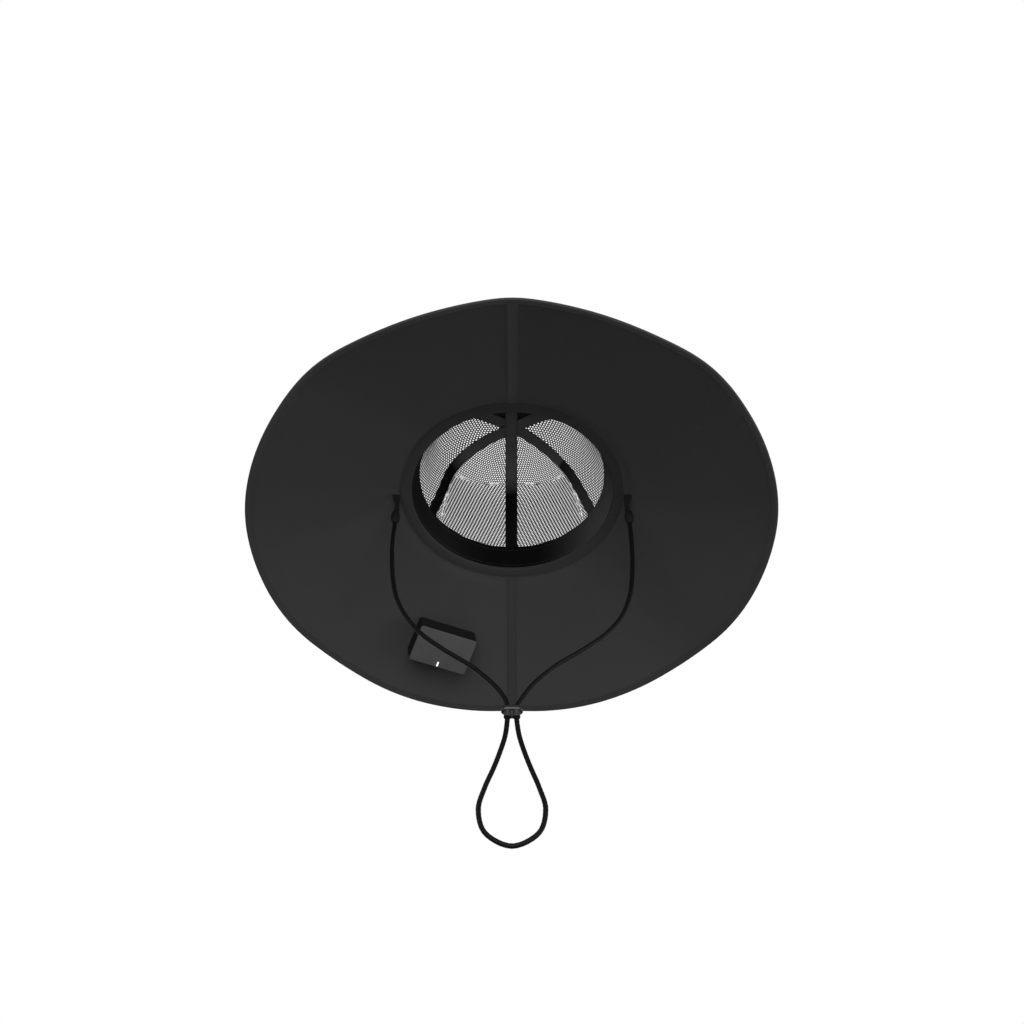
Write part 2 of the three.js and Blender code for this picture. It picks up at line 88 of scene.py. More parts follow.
# Crown, as in the frame
BAND_WALL = 1.2
BAND_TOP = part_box("sweatband")[1].z / MM
TAPE_WIDTH = 10.5
TAPE_THICKNESS = 1.0
NET_THICKNESS = 1.2
GORES = 6
GORE_ANGLE = 360.0 / GORES
CROWN_RADIUS = HEAD_RADIUS + BAND_WALL + GAP + TAPE_THICKNESS + GAP
CROWN_BASE = BRIM_WALL + GAP
CROWN_HEIGHT = 98.2
STACK_REACH = 14.0
STACK_BLEND = 14.0
TAB_FOLDS = (  # where a fold beside a cord tab starts and ends, its depth and its width
    ((104.0, -3.0), (134.0, -29.0), 2.4, 2.4),
    ((105.0, 4.0), (130.0, 10.0), -1.1, 3.0),
    ((103.0, 6.0), (118.0, 26.0), 1.0, 2.2),
)
DENT = {  # the hollow in one side of the crown: shares of the length, and degrees
    "depth": 8.0,
    "along": 0.6,
    "spread": 0.16,
    "azimuth": 112.0,
    "turn": 30.0,
    "end": 0.85,
}
CROWN_SHAPE = (  # shares of the crown's radius and height
    (1.0, 0.0),
    (0.928, 0.23),
    (0.8625, 0.376),
    (0.804, 0.537),
    (0.723, 0.74),
    (0.632, 0.842),
    (0.533, 0.909),
    (0.424, 0.95),
    (0.316, 0.976),
    (0.158, 0.995),
    (0.0, 1.0),
)

# Chin cord: its route in the plane of the ears, x and z from the left end to the right end
CORD_DIAMETER = 4.1
CORD_ROUTE = (
    (-103.8, -43.0), (-104.5, -66.0), (-104.0, -89.5), (-101.6, -118.0), (-97.0, -143.0), (-88.8, -164.0),
    (-75.0, -185.5), (-56.5, -203.8), (-31.7, -225.0), (-14.1, -245.7), (-5.7, -260.5), (-3.6, -269.8),
    (-3.6, -281.5), (-5.3, -300.3), (-9.4, -318.0), (-14.0, -334.0), (-20.6, -354.0), (-25.0, -375.0),
    (-19.5, -398.0), (0.0, -410.0), (19.5, -398.0), (25.0, -375.0), (20.6, -354.0), (14.3, -334.0),
    (9.7, -318.0), (5.6, -300.3), (3.6, -281.5), (3.6, -269.8), (7.3, -261.4), (17.3, -244.1),
    (36.0, -222.8), (56.0, -206.4), (76.7, -186.8), (91.3, -165.1), (99.5, -139.4), (103.2, -110.0),
    (104.7, -78.0), (104.4, -43.0),
)


# Node graphs

class Wire:
    """A node socket that Python expressions can use: arithmetic on it adds Math nodes."""

    def __init__(self, graph, socket):
        self.graph = graph
        self.socket = socket

    def math(self, operation, *values):
        return self.graph.node("ShaderNodeMath", {"operation": operation}, dict(enumerate(values)))

    def __add__(self, other):
        return self.math("ADD", self, other)

    def __radd__(self, other):
        return self.math("ADD", other, self)

    def __sub__(self, other):
        return self.math("SUBTRACT", self, other)

    def __rsub__(self, other):
        return self.math("SUBTRACT", other, self)

    def __mul__(self, other):
        return self.math("MULTIPLY", self, other)

    def __rmul__(self, other):
        return self.math("MULTIPLY", other, self)

    def __truediv__(self, other):
        return self.math("DIVIDE", self, other)

    def __mod__(self, other):
        return self.math("FLOORED_MODULO", self, other)

    def __lt__(self, other):
        return self.math("LESS_THAN", self, other)

    def __gt__(self, other):
        return self.math("GREATER_THAN", self, other)

    def output(self, key):
        """Another output of the node that this wire comes from."""
        return Wire(self.graph, self.socket.node.outputs[key])

    def __abs__(self):
        return self.math("ABSOLUTE", self)

    def sine(self):
        return self.math("SINE", self)

    def cosine(self):
        return self.math("COSINE", self)

    def floor(self):
        return self.math("FLOOR", self)

    def lower_of(self, other):
        return self.math("MINIMUM", self, other)

    def higher_of(self, other):
        return self.math("MAXIMUM", self, other)


class Graph:
    """One node tree. Most of its nodes come from the node method, and a few are added to the tree directly.
    """

    def __init__(self, tree):
        self.tree = tree

    def node(self, kind, settings=None, values=None, output=0):
        """Adds a node, sets its settings first, then its sockets, and returns one output as a wire."""
        node = self.tree.nodes.new(kind)
        for key, value in (settings or {}).items():
            setattr(node, key, value)
        for key, value in (values or {}).items():
            self.feed(node.inputs[key], value)
        return Wire(self, node.outputs[output])

    def feed(self, socket, value):
        """Links a wire to a socket, or sets a plain value on it."""
        if isinstance(value, Wire):
            self.tree.links.new(value.socket, socket)
        else:
            socket.default_value = value


class Finish(Graph):
    """A material round one Principled shader, whose constant sockets are set by name."""

    def __init__(self, name, colour, roughness, **sockets):
        self.material = bpy.data.materials.new(name)
        self.material.use_nodes = True
        super().__init__(self.material.node_tree)
        self.shader = self.tree.nodes["Principled BSDF"]
        self.shader.inputs["Base Color"].default_value = (*colour, 1.0)
        self.shader.inputs["Roughness"].default_value = roughness
        for socket, value in sockets.items():
            self.shader.inputs[socket.replace("_", " ")].default_value = value
        self.colour = colour
        self.roughness = roughness

    def place(self, source="Object"):
        """Where a point is, on the piece itself or on its UV map."""
        return self.node("ShaderNodeTexCoord", output=source)

    def parts_of(self, vector):
        """The x, y and z of a vector."""
        split = self.node("ShaderNodeSeparateXYZ", values={0: vector})
        return [split.output(key) for key in ("X", "Y", "Z")]

    def noise(self, vector, size, detail=3.0):
        """Noise with lumps of about this size in mm."""
        values = {"Vector": vector, "Scale": 1.0 / (size * MM), "Detail": detail, "Roughness": 0.55}
        return self.node("ShaderNodeTexNoise", values=values)

    def tinted(self, tone):
        """The base colour times tone, which lies between 0 and 2."""
        return self.shade(tone * 0.5, 0.0, 2.0)

    def shade(self, amount, low, high):
        """The base colour times a factor that runs from low to high with amount."""
        values = {
            "Factor": amount,
            "A": (*(c * low for c in self.colour), 1.0),
            "B": (*(c * high for c in self.colour), 1.0),
        }
        return self.mix(values)

    def mix(self, values):
        """Mixes two colours. The Mix node has sockets for each kind of value, so these are found by kind."""
        node = self.tree.nodes.new("ShaderNodeMix")
        node.data_type = "RGBA"
        for key, value in values.items():
            kind = "VALUE" if key == "Factor" else "RGBA"
            socket = next(s for s in node.inputs if s.name == key and s.type == kind)
            self.feed(socket, value)
        return Wire(self, next(s for s in node.outputs if s.type == "RGBA"))

    def set(self, socket, wire):
        self.feed(self.shader.inputs[socket], wire)

    def relief(self, height, distance):
        """Bumps the surface, by up to distance in mm."""
        values = {"Height": height, "Distance": distance * MM, "Strength": 1.0}
        self.set("Normal", self.node("ShaderNodeBump", values=values))

    def vary_roughness(self, amount, spread=0.16):
        """Spreads the roughness round the one that the finish was given."""
        self.set("Roughness", amount * spread + (self.roughness - spread / 2.0))


# Finishes

def share_between(wire, start, end):
    """How far a length is from start to end, which are in mm, kept between 0 and 1."""
    return ((wire - start * MM) / ((end - start) * MM)).higher_of(0.0).lower_of(1.0)


def cloth(name, colour, thread=0.55, diagonal=False, roughness=0.85, sheen=0.05, mottle=0.12, depth=0.05,
          shine=0.2, painted_light_slope=(0.0, 0.0), painted_light_rise=None, ground=1.0, painted_light_ramps=()):
    """Woven cloth on the piece's own UV map, which is in metres. thread is the weave's pitch, mottle how
    uneven the tone is, and depth the relief. The slope, which is painted light, is how much lighter the
    cloth is towards +X and +Y at the brim's rim. The rise, which is painted light and shade, is the height
    where it turns lighter, and the tone below and above. ground is the tone before any ramp, and each ramp,
    which is painted light or shade, adds its last number from one x or y, in mm, to the next."""
    fine_grain = 0.9
    broad_grain = 38.0
    rise_half = 7.0
    finish = Finish(name, colour, roughness, Sheen_Weight=sheen, Sheen_Roughness=0.6,
                    Specular_IOR_Level=shine)
    u, v, _ = finish.parts_of(finish.place("UV"))
    turn = 2.0 * math.pi / (thread * MM)
    if diagonal:
        twill = ((u + v) * turn).sine()
        rib = ((u - v) * (turn * 0.5)).sine()
        ridge = twill * 0.5 + rib * 0.2
    else:
        ridge = (u * turn).sine() * (v * turn).sine()
    place = finish.place()
    fine = finish.noise(place, fine_grain, detail=2.0)
    broad = finish.noise(place, broad_grain, detail=4.0)
    tone = ((broad * 0.7 + fine * 0.3) * (mottle * 4.0) + (1.0 - mottle * 2.0)) * ground
    x, y, z = finish.parts_of(place)
    # Each ramp paints light or shade: one side made lighter or darker, where light falls or fails
    for axis, start, end, amount in painted_light_ramps:
        share = share_between({"x": x, "y": y}[axis], start, end)
        tone = tone + share * share * amount
    # Painted light and shade: lighter or darker towards +X and +Y by the given amounts
    for length, amount in zip((x, y), painted_light_slope):
        if amount:
            tone = tone + length * (amount / (BRIM_RADIUS * MM))
    # Painted light and shade: darker below the given height and lighter above it
    if painted_light_rise:
        height, low_tone, high_tone = painted_light_rise
        share = share_between(z, height - rise_half, height + rise_half)
        tone = tone * (share * (high_tone - low_tone) + low_tone)
    finish.set("Base Color", finish.tinted(tone))
    finish.vary_roughness(fine)
    finish.relief(ridge * 0.35 + fine, depth)
    return finish.material


def net_yarn():
    """Thin matt yarn."""
    finish = Finish("net_yarn", (0.015, 0.015, 0.0155), 0.7, Specular_IOR_Level=0.2)
    place = finish.place()
    strand = finish.noise(place, 0.35, detail=2.0)
    broad = finish.noise(place, 30.0)
    finish.set("Base Color", finish.shade(broad, 0.75, 1.25))
    finish.relief(strand, 0.06)
    return finish.material


def thread_finish():
    """Twisted sewing thread."""
    ply_pitch = 0.5
    finish = Finish("sewing_thread", (0.017, 0.017, 0.0175), 0.6, Specular_IOR_Level=0.3)
    x, y, z = finish.parts_of(finish.place())
    ply = ((x + y + z) * (2.0 * math.pi / (ply_pitch * MM))).sine()
    finish.relief(ply, 0.05)
    finish.set("Base Color", finish.shade(ply * 0.5 + 0.5, 0.8, 1.2))
    return finish.material


def solar_laminate():
    """Dark cells under a clear film, with silver lines on them, in rows along each facet."""
    cell = 27.0 * MM
    line = 0.45 * MM
    finger_pitch = 1.35 * MM
    bus_places = (0.34, 0.72)
    gap_colour = (0.012, 0.012, 0.013, 1.0)
    silver_colour = (0.22, 0.23, 0.25, 1.0)
    finish = Finish("solar_laminate", (0.006, 0.008, 0.019), 0.22, Coat_Weight=0.05, Coat_Roughness=0.3,
                    Specular_IOR_Level=0.15)
    x, y, _ = finish.parts_of(finish.place())
    azimuth = finish.node("ShaderNodeMath", {"operation": "ARCTAN2"}, {0: x, 1: y * -1.0})
    step = math.radians(FACET_ANGLE)
    middle = ((azimuth / step).floor() + 0.5) * step
    out = x * middle.sine() - y * middle.cosine()
    along = x * middle.cosine() + y * middle.sine()
    cell_x = (along + cell * 0.5) % cell
    cell_y = (out * math.hypot(1.0, BRIM_FALL)) % cell
    seam = (cell_x < line * 2.0).higher_of(cell_y < line * 2.0)
    left_bus, right_bus = (abs(cell_x - cell * bus_place) < line for bus_place in bus_places)
    fingers = ((cell_y % finger_pitch) < finger_pitch * 0.16) * 0.35
    silver = left_bus.higher_of(right_bus).higher_of(fingers) * (1.0 - seam)
    grain = finish.noise(finish.place(), 9.0, detail=5.0)
    dark = finish.shade(grain, 0.6, 1.5)
    gap = finish.mix({"Factor": seam, "A": dark, "B": gap_colour})
    finish.set("Base Color", finish.mix({"Factor": silver * 0.8, "A": gap, "B": silver_colour}))
    finish.vary_roughness(grain, 0.12)
    film = finish.noise(finish.place(), 14.0, detail=2.0)
    finish.relief(film + silver * 0.2, 0.08)
    return finish.material


def moulded(name, colour, roughness, depth=0.02, coat=0.0, wear=0.25, shine=0.5):
    """Moulded plastic or rubber with a fine grain, a little worn on its edges."""
    grain = 0.35
    flat_pointiness = 0.52
    finish = Finish(name, colour, roughness, Coat_Weight=coat, Coat_Roughness=0.2, Specular_IOR_Level=shine)
    place = finish.place()
    fine = finish.noise(place, grain, detail=3.0)
    smear = finish.noise(place, 11.0, detail=5.0)
    edge = finish.node("ShaderNodeNewGeometry", output="Pointiness")
    worn = ((edge - flat_pointiness) * 8.0).higher_of(0.0).lower_of(1.0)
    finish.set("Base Color", finish.shade(smear * 0.6 + worn * wear, 0.8, 1.35))
    finish.vary_roughness(smear)
    finish.relief(fine, depth)
    return finish.material


def light_lens():
    """Ribbed pale plastic that glows a little."""
    rib_pitch = 0.8
    finish = Finish("light_lens", (0.86, 0.87, 0.88), 0.3, Coat_Weight=0.4, Emission_Strength=0.6)
    x, _, _ = finish.parts_of(finish.place("UV"))
    rib = (x * (2.0 * math.pi / (rib_pitch * MM))).sine() * 0.5 + 0.5
    glow = finish.noise(finish.place(), 4.0)
    finish.set("Emission Color", finish.shade(glow, 0.8, 1.1))
    finish.set("Base Color", finish.shade(glow, 0.85, 1.05))
    finish.relief(rib, 0.05)
    return finish.material


def port_metal():
    """Scratched bare metal."""
    finish = Finish("port_metal", (0.5, 0.5, 0.5), 0.35, Metallic=1.0)
    scratch = finish.noise(finish.place(), 1.2, detail=6.0)
    finish.set("Base Color", finish.shade(scratch, 0.75, 1.1))
    finish.vary_roughness(scratch, 0.3)
    return finish.material


def braid():
    """Braided sleeve on the cord's UV map: u runs round it and v along it, in metres."""
    strand_pitch = 1.1
    finish = Finish("cord_braid", (0.0028, 0.0028, 0.0029), 0.4, Specular_IOR_Level=0.08)
    u, v, _ = finish.parts_of(finish.place("UV"))
    turn = 2.0 * math.pi / (strand_pitch * MM)
    left = ((v + u * 0.8) * turn).sine()
    right = ((v - u * 0.8) * turn).sine()
    fine = finish.noise(finish.place(), 0.3, detail=2.0)
    finish.set("Base Color", finish.shade(left * right * 0.4 + 0.5, 0.65, 1.4))
    finish.vary_roughness(fine)
    finish.relief(left * right * 0.5 + fine * 0.4, 0.05)
    return finish.material


# Painted light: the brim's cloth is lighter towards the back (+Y), darker at the front and a little darker
# towards +X
BRIM_CLOTH = cloth("brim_cloth", (0.021, 0.021, 0.0214), thread=0.7, mottle=0.05, painted_light_slope=(-0.08, 0.46))
# Painted shade: the facing ring is darker at the front and towards +X, most of all past 60 mm out, and
# lighter at the back
COLLAR_CLOTH = cloth("collar_cloth", (0.0175, 0.0175, 0.0178), thread=0.6, shine=0.1, painted_light_slope=(-0.4, 0.95),
                     painted_light_ramps=(("x", 60.0, 118.0, -0.5),))
BINDING_CLOTH = cloth("binding_cloth", (0.0222, 0.0222, 0.0226), thread=0.8, diagonal=True, mottle=0.08)
CROWN_CLOTH = cloth("crown_cloth", (0.009, 0.009, 0.0092), thread=0.55, mottle=0.15)
# Painted light and shade: the tapes are nearly black below 84 mm high and light above it, far lighter on the
# +X side and darker towards the front
TAPE_CLOTH = cloth("tape_cloth", (0.043, 0.043, 0.0436), thread=0.9, diagonal=True, sheen=0.0, shine=0.05,
                   mottle=0.05, painted_light_rise=(84.0, 0.06, 1.95),
                   painted_light_ramps=(("x", 20.0, 60.0, 11.0), ("y", 0.0, -50.0, -0.5)))
# Painted light: the band is lighter on the +X side past 20 mm, and a little lighter on the -X side past 15 mm
BAND_CLOTH = cloth("band_cloth", (0.037, 0.037, 0.0375), thread=0.5, sheen=0.0, shine=0.04, ground=0.055,
                   painted_light_ramps=(("x", 20.0, 95.0, 2.0), ("x", -15.0, -60.0, 0.14)))
WEBBING = cloth("tab_webbing", (0.005, 0.005, 0.0051), thread=1.1, diagonal=True, sheen=0.0, shine=0.1,
                depth=0.12)
NET_YARN = net_yarn()
THREAD = thread_finish()
SOLAR = solar_laminate()
# Painted shade: the shell is far darker than the lid, so that the box's sides look shaded and its face lit
BOX_SHELL_PAINTED_SHADE = moulded("box_shell", (0.0055, 0.0055, 0.0056), 0.7, shine=0.12)
BOX_LID_PAINTED_LIGHT = moulded("box_lid", (0.048, 0.048, 0.049), 0.6, wear=0.1, shine=0.35)
TOGGLE_PLASTIC = moulded("toggle_plastic", (0.009, 0.009, 0.0092), 0.36, depth=0.01, coat=0.1, shine=0.4)
END_RUBBER = moulded("cord_end_rubber", (0.006, 0.006, 0.0061), 0.62, shine=0.08)
PORT_TONGUE = moulded("port_tongue", (0.01, 0.01, 0.011), 0.4)
LIGHT_LENS = light_lens()
PORT_METAL = port_metal()
CORD_BRAID = braid()


# Shapes

def around(radius, azimuth, height):
    """Points at a distance from the hat's axis."""
    turn = np.radians(azimuth)
    parts = np.broadcast_arrays(radius * np.sin(turn), -radius * np.cos(turn), height)
    return np.stack(parts, axis=-1).astype(float)


def smoothstep(value, low, high):
    """Rises smoothly from 0 at low to 1 at high."""
    share = np.clip((value - low) / (high - low), 0.0, 1.0)
    return share * share * (3.0 - 2.0 * share)


def soft_waves(x, y, size, seed):
    """Gentle unevenness of cloth, from -1 to 1, with waves about as long as size."""
    draw = np.random.default_rng(seed)
    count = 7
    total = 0.0
    for _ in range(count):
        heading = draw.uniform(0.0, 2.0 * math.pi)
        length = size * draw.uniform(0.7, 1.6)
        phase = draw.uniform(0.0, 2.0 * math.pi)
        run = x * math.cos(heading) + y * math.sin(heading)
        total = total + np.sin(run * 2.0 * math.pi / length + phase)
    return total / math.sqrt(count) / 1.5


def facet_offset(azimuth):
    """Degrees from the middle line of the facet that a point is on."""
    return np.mod(azimuth, FACET_ANGLE) - FACET_ANGLE / 2.0


def facet_share(radius):
    """From 0 on the level seat round the head hole to 1 on the sloping facets."""
    return smoothstep(radius, SEAT_RADIUS, SLOPE_START)


def facet_reach(radius, azimuth):
    """How far out a point is along its facet's middle line. Beside a seam the cloth bends in a soft round."""
    offset = facet_offset(azimuth)
    from_seam = FACET_ANGLE / 2.0 - np.abs(offset)
    taped = np.abs(np.mod(azimuth + 90.0, 180.0) - 90.0) < FACET_ANGLE / 2.0
    bend = np.where(taped, TAPED_SEAM_BEND, SEAM_BEND)
    slope = math.radians(math.sin(math.radians(FACET_ANGLE / 2.0)))
    lift = slope * np.maximum(bend - from_seam, 0.0) ** 2 / (2.0 * bend)
    return radius * (np.cos(np.radians(offset)) + lift)


def rim_share(radius):
    """From 0 where the facets start to 1 at the rim, and a little more beyond it."""
    return np.clip((radius - SLOPE_START) / (BRIM_RADIUS - SLOPE_START), 0.0, 1.1) ** 1.3


def underside(radius, azimuth):
    """Height of the brim's lower face, without the cloth's own swell."""
    flat = -BRIM_FALL * (facet_reach(radius, azimuth) - FACET_START) * facet_share(radius)
    return flat - rim_share(radius) * round_value(RIM_DROP_LINE, azimuth)


def round_line(values):
    """A smooth closed line through values that are evenly spaced round the hat."""
    count = len(values)
    return smooth_line([(k * 360.0 / count, values[k % count]) for k in range(-2, count + 3)], 12)


def round_value(line, azimuth):
    """What a closed line says at an azimuth."""
    return np.interp(np.mod(azimuth, 360.0), line[:, 0], line[:, 1])


def brim_point(radius, azimuth, height):
    """A point of the brim's cloth, moved outwards as the rim there stands out."""
    out = rim_share(radius) * round_value(RIM_REACH_LINE, azimuth)
    return around(radius + out, azimuth, height - BRIM_FALL * out)


def wall_height(radius):
    """How high the brim's wall is, measured upright."""
    return BRIM_WALL * (1.0 + (math.hypot(1.0, BRIM_FALL) - 1.0) * facet_share(radius))


def seam_distance(radius, azimuth):
    """Distance to the nearest seam between facets."""
    from_seam = FACET_ANGLE / 2.0 - np.abs(facet_offset(azimuth))
    return radius * np.sin(np.radians(from_seam))


def cloth_swell(radius, azimuth):
    """How much the brim's cloth stands proud: waves, seam creases and puckers at the cord tabs."""
    wave_height = 0.22
    wave_length = 52.0
    crease_depth = 0.3
    crease_width = 0.9
    taped_half_width = 20.0
    x = radius * np.sin(np.radians(azimuth))
    y = -radius * np.cos(np.radians(azimuth))
    waves = wave_height * soft_waves(x, y, wave_length, 3)
    crease = crease_depth * np.exp(-(seam_distance(radius, azimuth) / crease_width) ** 2)
    swell = (waves - crease * (np.abs(x) < taped_half_width)) * facet_share(radius)
    for side in (-1.0, 1.0):
        for start, end, depth, width in TAB_FOLDS:
            swell = swell - depth * fold_line(x * side, y, start, end, width)
    return swell


def brim_under(radius, azimuth, out=0.0):
    """A point of the brim's lower face, or out below it."""
    lie = underside(radius, azimuth) - UNDER_SWELL * cloth_swell(radius, azimuth) + UNDER_INSET
    return brim_point(radius, azimuth, lie - out)


def brim_over(radius, azimuth, out=0.0):
    """A point of the brim's upper face, or out above it."""
    top = underside(radius, azimuth) + wall_height(radius)
    lie = top - OVER_INSET + OVER_SWELL * cloth_swell(radius, azimuth)
    return brim_point(radius, azimuth, lie + out)


def fold_line(x, y, start, end, width):
    """From 0 to 1, how near a point is to a fold that starts deep at start and dies out at end."""
    run = np.subtract(end, start)
    share = np.clip(((x - start[0]) * run[0] + (y - start[1]) * run[1]) / (run @ run), 0.0, 1.0)
    away = np.hypot(x - start[0] - share * run[0], y - start[1] - share * run[1])
    return np.exp(-((away / (width * (0.6 + share))) ** 2)) * (1.0 - share)


def run_lengths(points):
    """The length of the line up to each of its points."""
    return np.concatenate([[0.0], np.cumsum(np.linalg.norm(np.diff(points, axis=0), axis=1))])


class Crown:
    """The net's inner face: a smooth curve through the shape table, turned round the axis."""

    def __init__(self):
        half = [(r * CROWN_RADIUS, CROWN_BASE + h * CROWN_HEIGHT) for r, h in CROWN_SHAPE]
        line = smooth_line(half + [(-x, z) for x, z in reversed(half[:-1])], 240)
        lengths = run_lengths(line)
        shares = lengths / lengths[-1] * 2.0
        slopes = np.gradient(line, lengths, axis=0)
        self.length = lengths[-1] / 2.0
        self.along = np.linspace(0.0, 1.0, 1200)
        self.radius = np.interp(self.along, shares, line[:, 0])
        self.height = np.interp(self.along, shares, line[:, 1])
        self.slope_x = np.interp(self.along, shares, slopes[:, 0])
        self.slope_z = np.interp(self.along, shares, slopes[:, 1])

    def radius_at(self, along):
        return np.interp(along, self.along, self.radius)

    def height_at(self, along):
        return np.interp(along, self.along, self.height)

    def along_at_radius(self, radius):
        return np.interp(-np.asarray(radius), -self.radius, self.along)

    def along_at_height(self, height):
        return np.interp(height, self.height, self.along)

    def dent(self, along, azimuth):
        """How far the crown is pressed in."""
        turn = np.mod(azimuth - DENT["azimuth"] + 180.0, 360.0) - 180.0
        spread = ((along - DENT["along"]) / DENT["spread"]) ** 2 + (turn / DENT["turn"]) ** 2
        return DENT["depth"] * np.exp(-spread / 2.0) * (1.0 - smoothstep(along, DENT["end"], 1.0))

    def point(self, along, azimuth, depth):
        """A point depth inside the net's inner face. along is 0 at the brim and 1 at the apex."""
        along, azimuth, depth = np.broadcast_arrays(along, azimuth, depth)
        inset = depth + self.dent(along, azimuth)
        radius = self.radius_at(along) - inset * np.interp(along, self.along, self.slope_z)
        height = self.height_at(along) + inset * np.interp(along, self.along, self.slope_x)
        return around(np.maximum(radius, 0.0), azimuth, np.maximum(height, CROWN_BASE))


def smooth_line(points, steps):
    """A centripetal spline through the points, with this many steps from each to the next."""
    points = np.asarray(points, float)
    ends = [2.0 * points[0] - points[1], 2.0 * points[-1] - points[-2]]
    full = np.vstack([ends[0], points, ends[1]])
    gaps = np.linalg.norm(np.diff(full, axis=0), axis=1) ** 0.5
    share = np.linspace(0.0, 1.0, steps, endpoint=False)[:, None]
    line = []
    for k in range(len(points) - 1):
        before, start, end, after = full[k:k + 4]
        first, span, last = gaps[k:k + 3]
        leave = ((start - before) / first - (end - before) / (first + span) + (end - start) / span) * span
        arrive = ((end - start) / span - (after - start) / (span + last) + (after - end) / last) * span
        line.append(
            start
            + leave * share
            + (3.0 * (end - start) - 2.0 * leave - arrive) * share ** 2
            + (2.0 * (start - end) + leave + arrive) * share ** 3
        )
    return np.vstack([*line, points[-1:]])


CROWN = Crown()
RIM_DROP_LINE = round_line(RIM_DROP)
RIM_REACH_LINE = round_line(RIM_REACH)


# Meshes

def add_piece(name, mesh, material):
    """An object in the scene with this mesh and one material."""
    piece = bpy.data.objects.new(name, mesh)
    bpy.context.scene.collection.objects.link(piece)
    mesh.materials.clear()
    mesh.materials.append(material)
    return piece


def signed_volume(mesh):
    """Six times the volume inside a mesh, and negative where its faces point inwards."""
    mesh.calc_loop_triangles()
    corners = np.zeros(len(mesh.loop_triangles) * 3, np.int32)
    mesh.loop_triangles.foreach_get("vertices", corners)
    places = np.zeros(len(mesh.vertices) * 3)
    mesh.vertices.foreach_get("co", places)
    a, b, c = places.reshape(-1, 3)[corners.reshape(-1, 3)].transpose(1, 0, 2)
    return float(np.einsum("ij,ij->", a, np.cross(b, c)))


def face_out(mesh):
    """Turns a closed mesh's faces outwards."""
    if signed_volume(mesh) < 0.0:
        mesh.flip_normals()
    return mesh


def mesh_of(name, points, faces, uvs=None, sharp=40.0):
    """A mesh in metres with its faces outwards. uvs holds one pair for each corner of each face."""
    mesh = bpy.data.meshes.new(name)
    mesh.from_pydata((np.asarray(points).reshape(-1, 3) * MM).tolist(), [], faces)
    if uvs is not None:
        layer = mesh.uv_layers.new(name="cloth")
        layer.data.foreach_set("uv", (np.asarray(uvs) * MM).ravel())
    face_out(mesh)
    mesh.shade_smooth()
    mesh.set_sharp_from_angle(angle=math.radians(sharp))
    mesh.validate()
    return mesh


def swept(name, sections, ring=False, sharp=40.0):
    """Joins a row of closed sections into a solid. A ring joins the last to the first, and otherwise the
    ends are closed. The UV map runs across the sections and along the row."""
    sections = np.asarray(sections, float)
    count, size = sections.shape[:2]
    spans = count if ring else count - 1
    s, k = np.meshgrid(np.arange(spans), np.arange(size), indexing="ij")
    after_s = (s + 1) % count
    after_k = (k + 1) % size
    row = s * size
    after_row = after_s * size
    quads = np.stack([row + k, row + after_k, after_row + after_k, after_row + k], axis=-1)
    widest = sections[count // 2]
    across = run_lengths(np.vstack([widest, widest[:1]]))
    centres = sections.mean(axis=1)
    if ring:
        centres = sections[:, 0]
        centres = np.vstack([centres, centres[:1]])
    along = run_lengths(centres)
    u = np.stack([across[k], across[k + 1], across[k + 1], across[k]], axis=-1)
    v = np.stack([along[s], along[s], along[s + 1], along[s + 1]], axis=-1)
    faces = quads.reshape(-1, 4).tolist()
    uvs = np.stack([u, v], axis=-1).reshape(-1, 2)
    if not ring:
        first = list(range(size))[::-1]
        last = [(count - 1) * size + k for k in range(size)]
        faces += [first, last]
        uvs = np.vstack([uvs, sections[0][::-1, :2], sections[-1][:, :2]])
    return mesh_of(name, sections, faces, uvs, sharp)


def grid_quads(rows, columns):
    """The point numbers of a grid, and the corners of its four-sided faces."""
    index = np.arange(rows * columns).reshape(rows, columns)
    quads = np.stack([index[:-1, :-1], index[:-1, 1:], index[1:, 1:], index[1:, :-1]], axis=-1)
    return index, quads.reshape(-1, 4)


def walled_sheet(name, near, far, uv):
    """A cloth wall between two grids of the same size, closed round its border."""
    rows, columns = near.shape[:2]
    index, quads = grid_quads(rows, columns)
    border = np.concatenate([index[0, :], index[1:, -1], index[-1, -2::-1], index[-2:0:-1, 0]])
    offset = rows * columns
    after = np.roll(border, -1)
    walls = np.stack([border, border + offset, after + offset, after], axis=-1)
    faces = np.vstack([quads, (quads + offset)[:, ::-1], walls])
    flat_uv = np.vstack([uv.reshape(-1, 2), uv.reshape(-1, 2)])
    points = np.vstack([near.reshape(-1, 3), far.reshape(-1, 3)])
    return mesh_of(name, points, faces.tolist(), flat_uv[faces.ravel()])


def joined(name, pieces, material):
    """Fuses the meshes of several pieces into one piece."""
    whole = bmesh.new()
    for piece in pieces:
        whole.from_mesh(piece.data)
    mesh = bpy.data.meshes.new(name)
    whole.to_mesh(mesh)
    whole.free()
    for piece in pieces:
        bpy.data.objects.remove(piece)
    return add_piece(name, mesh, material)


def settle(piece, slot, *nodes):
    """Fixes a finished piece to the hat and hides the solids that it stands for."""
    piece.data.name = piece.name
    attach(piece, BODY)
    if nodes:
        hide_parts(*nodes)
    return piece


def evaluated(piece, name, material):
    """The piece with its modifiers applied, as a plain mesh, in place of the live one."""
    graph = bpy.context.evaluated_depsgraph_get()
    mesh = bpy.data.meshes.new_from_object(piece.evaluated_get(graph))
    piece.modifiers.clear()
    bpy.data.objects.remove(piece)
    mesh.name = name
    return add_piece(name, mesh, material)


# Geometry Nodes

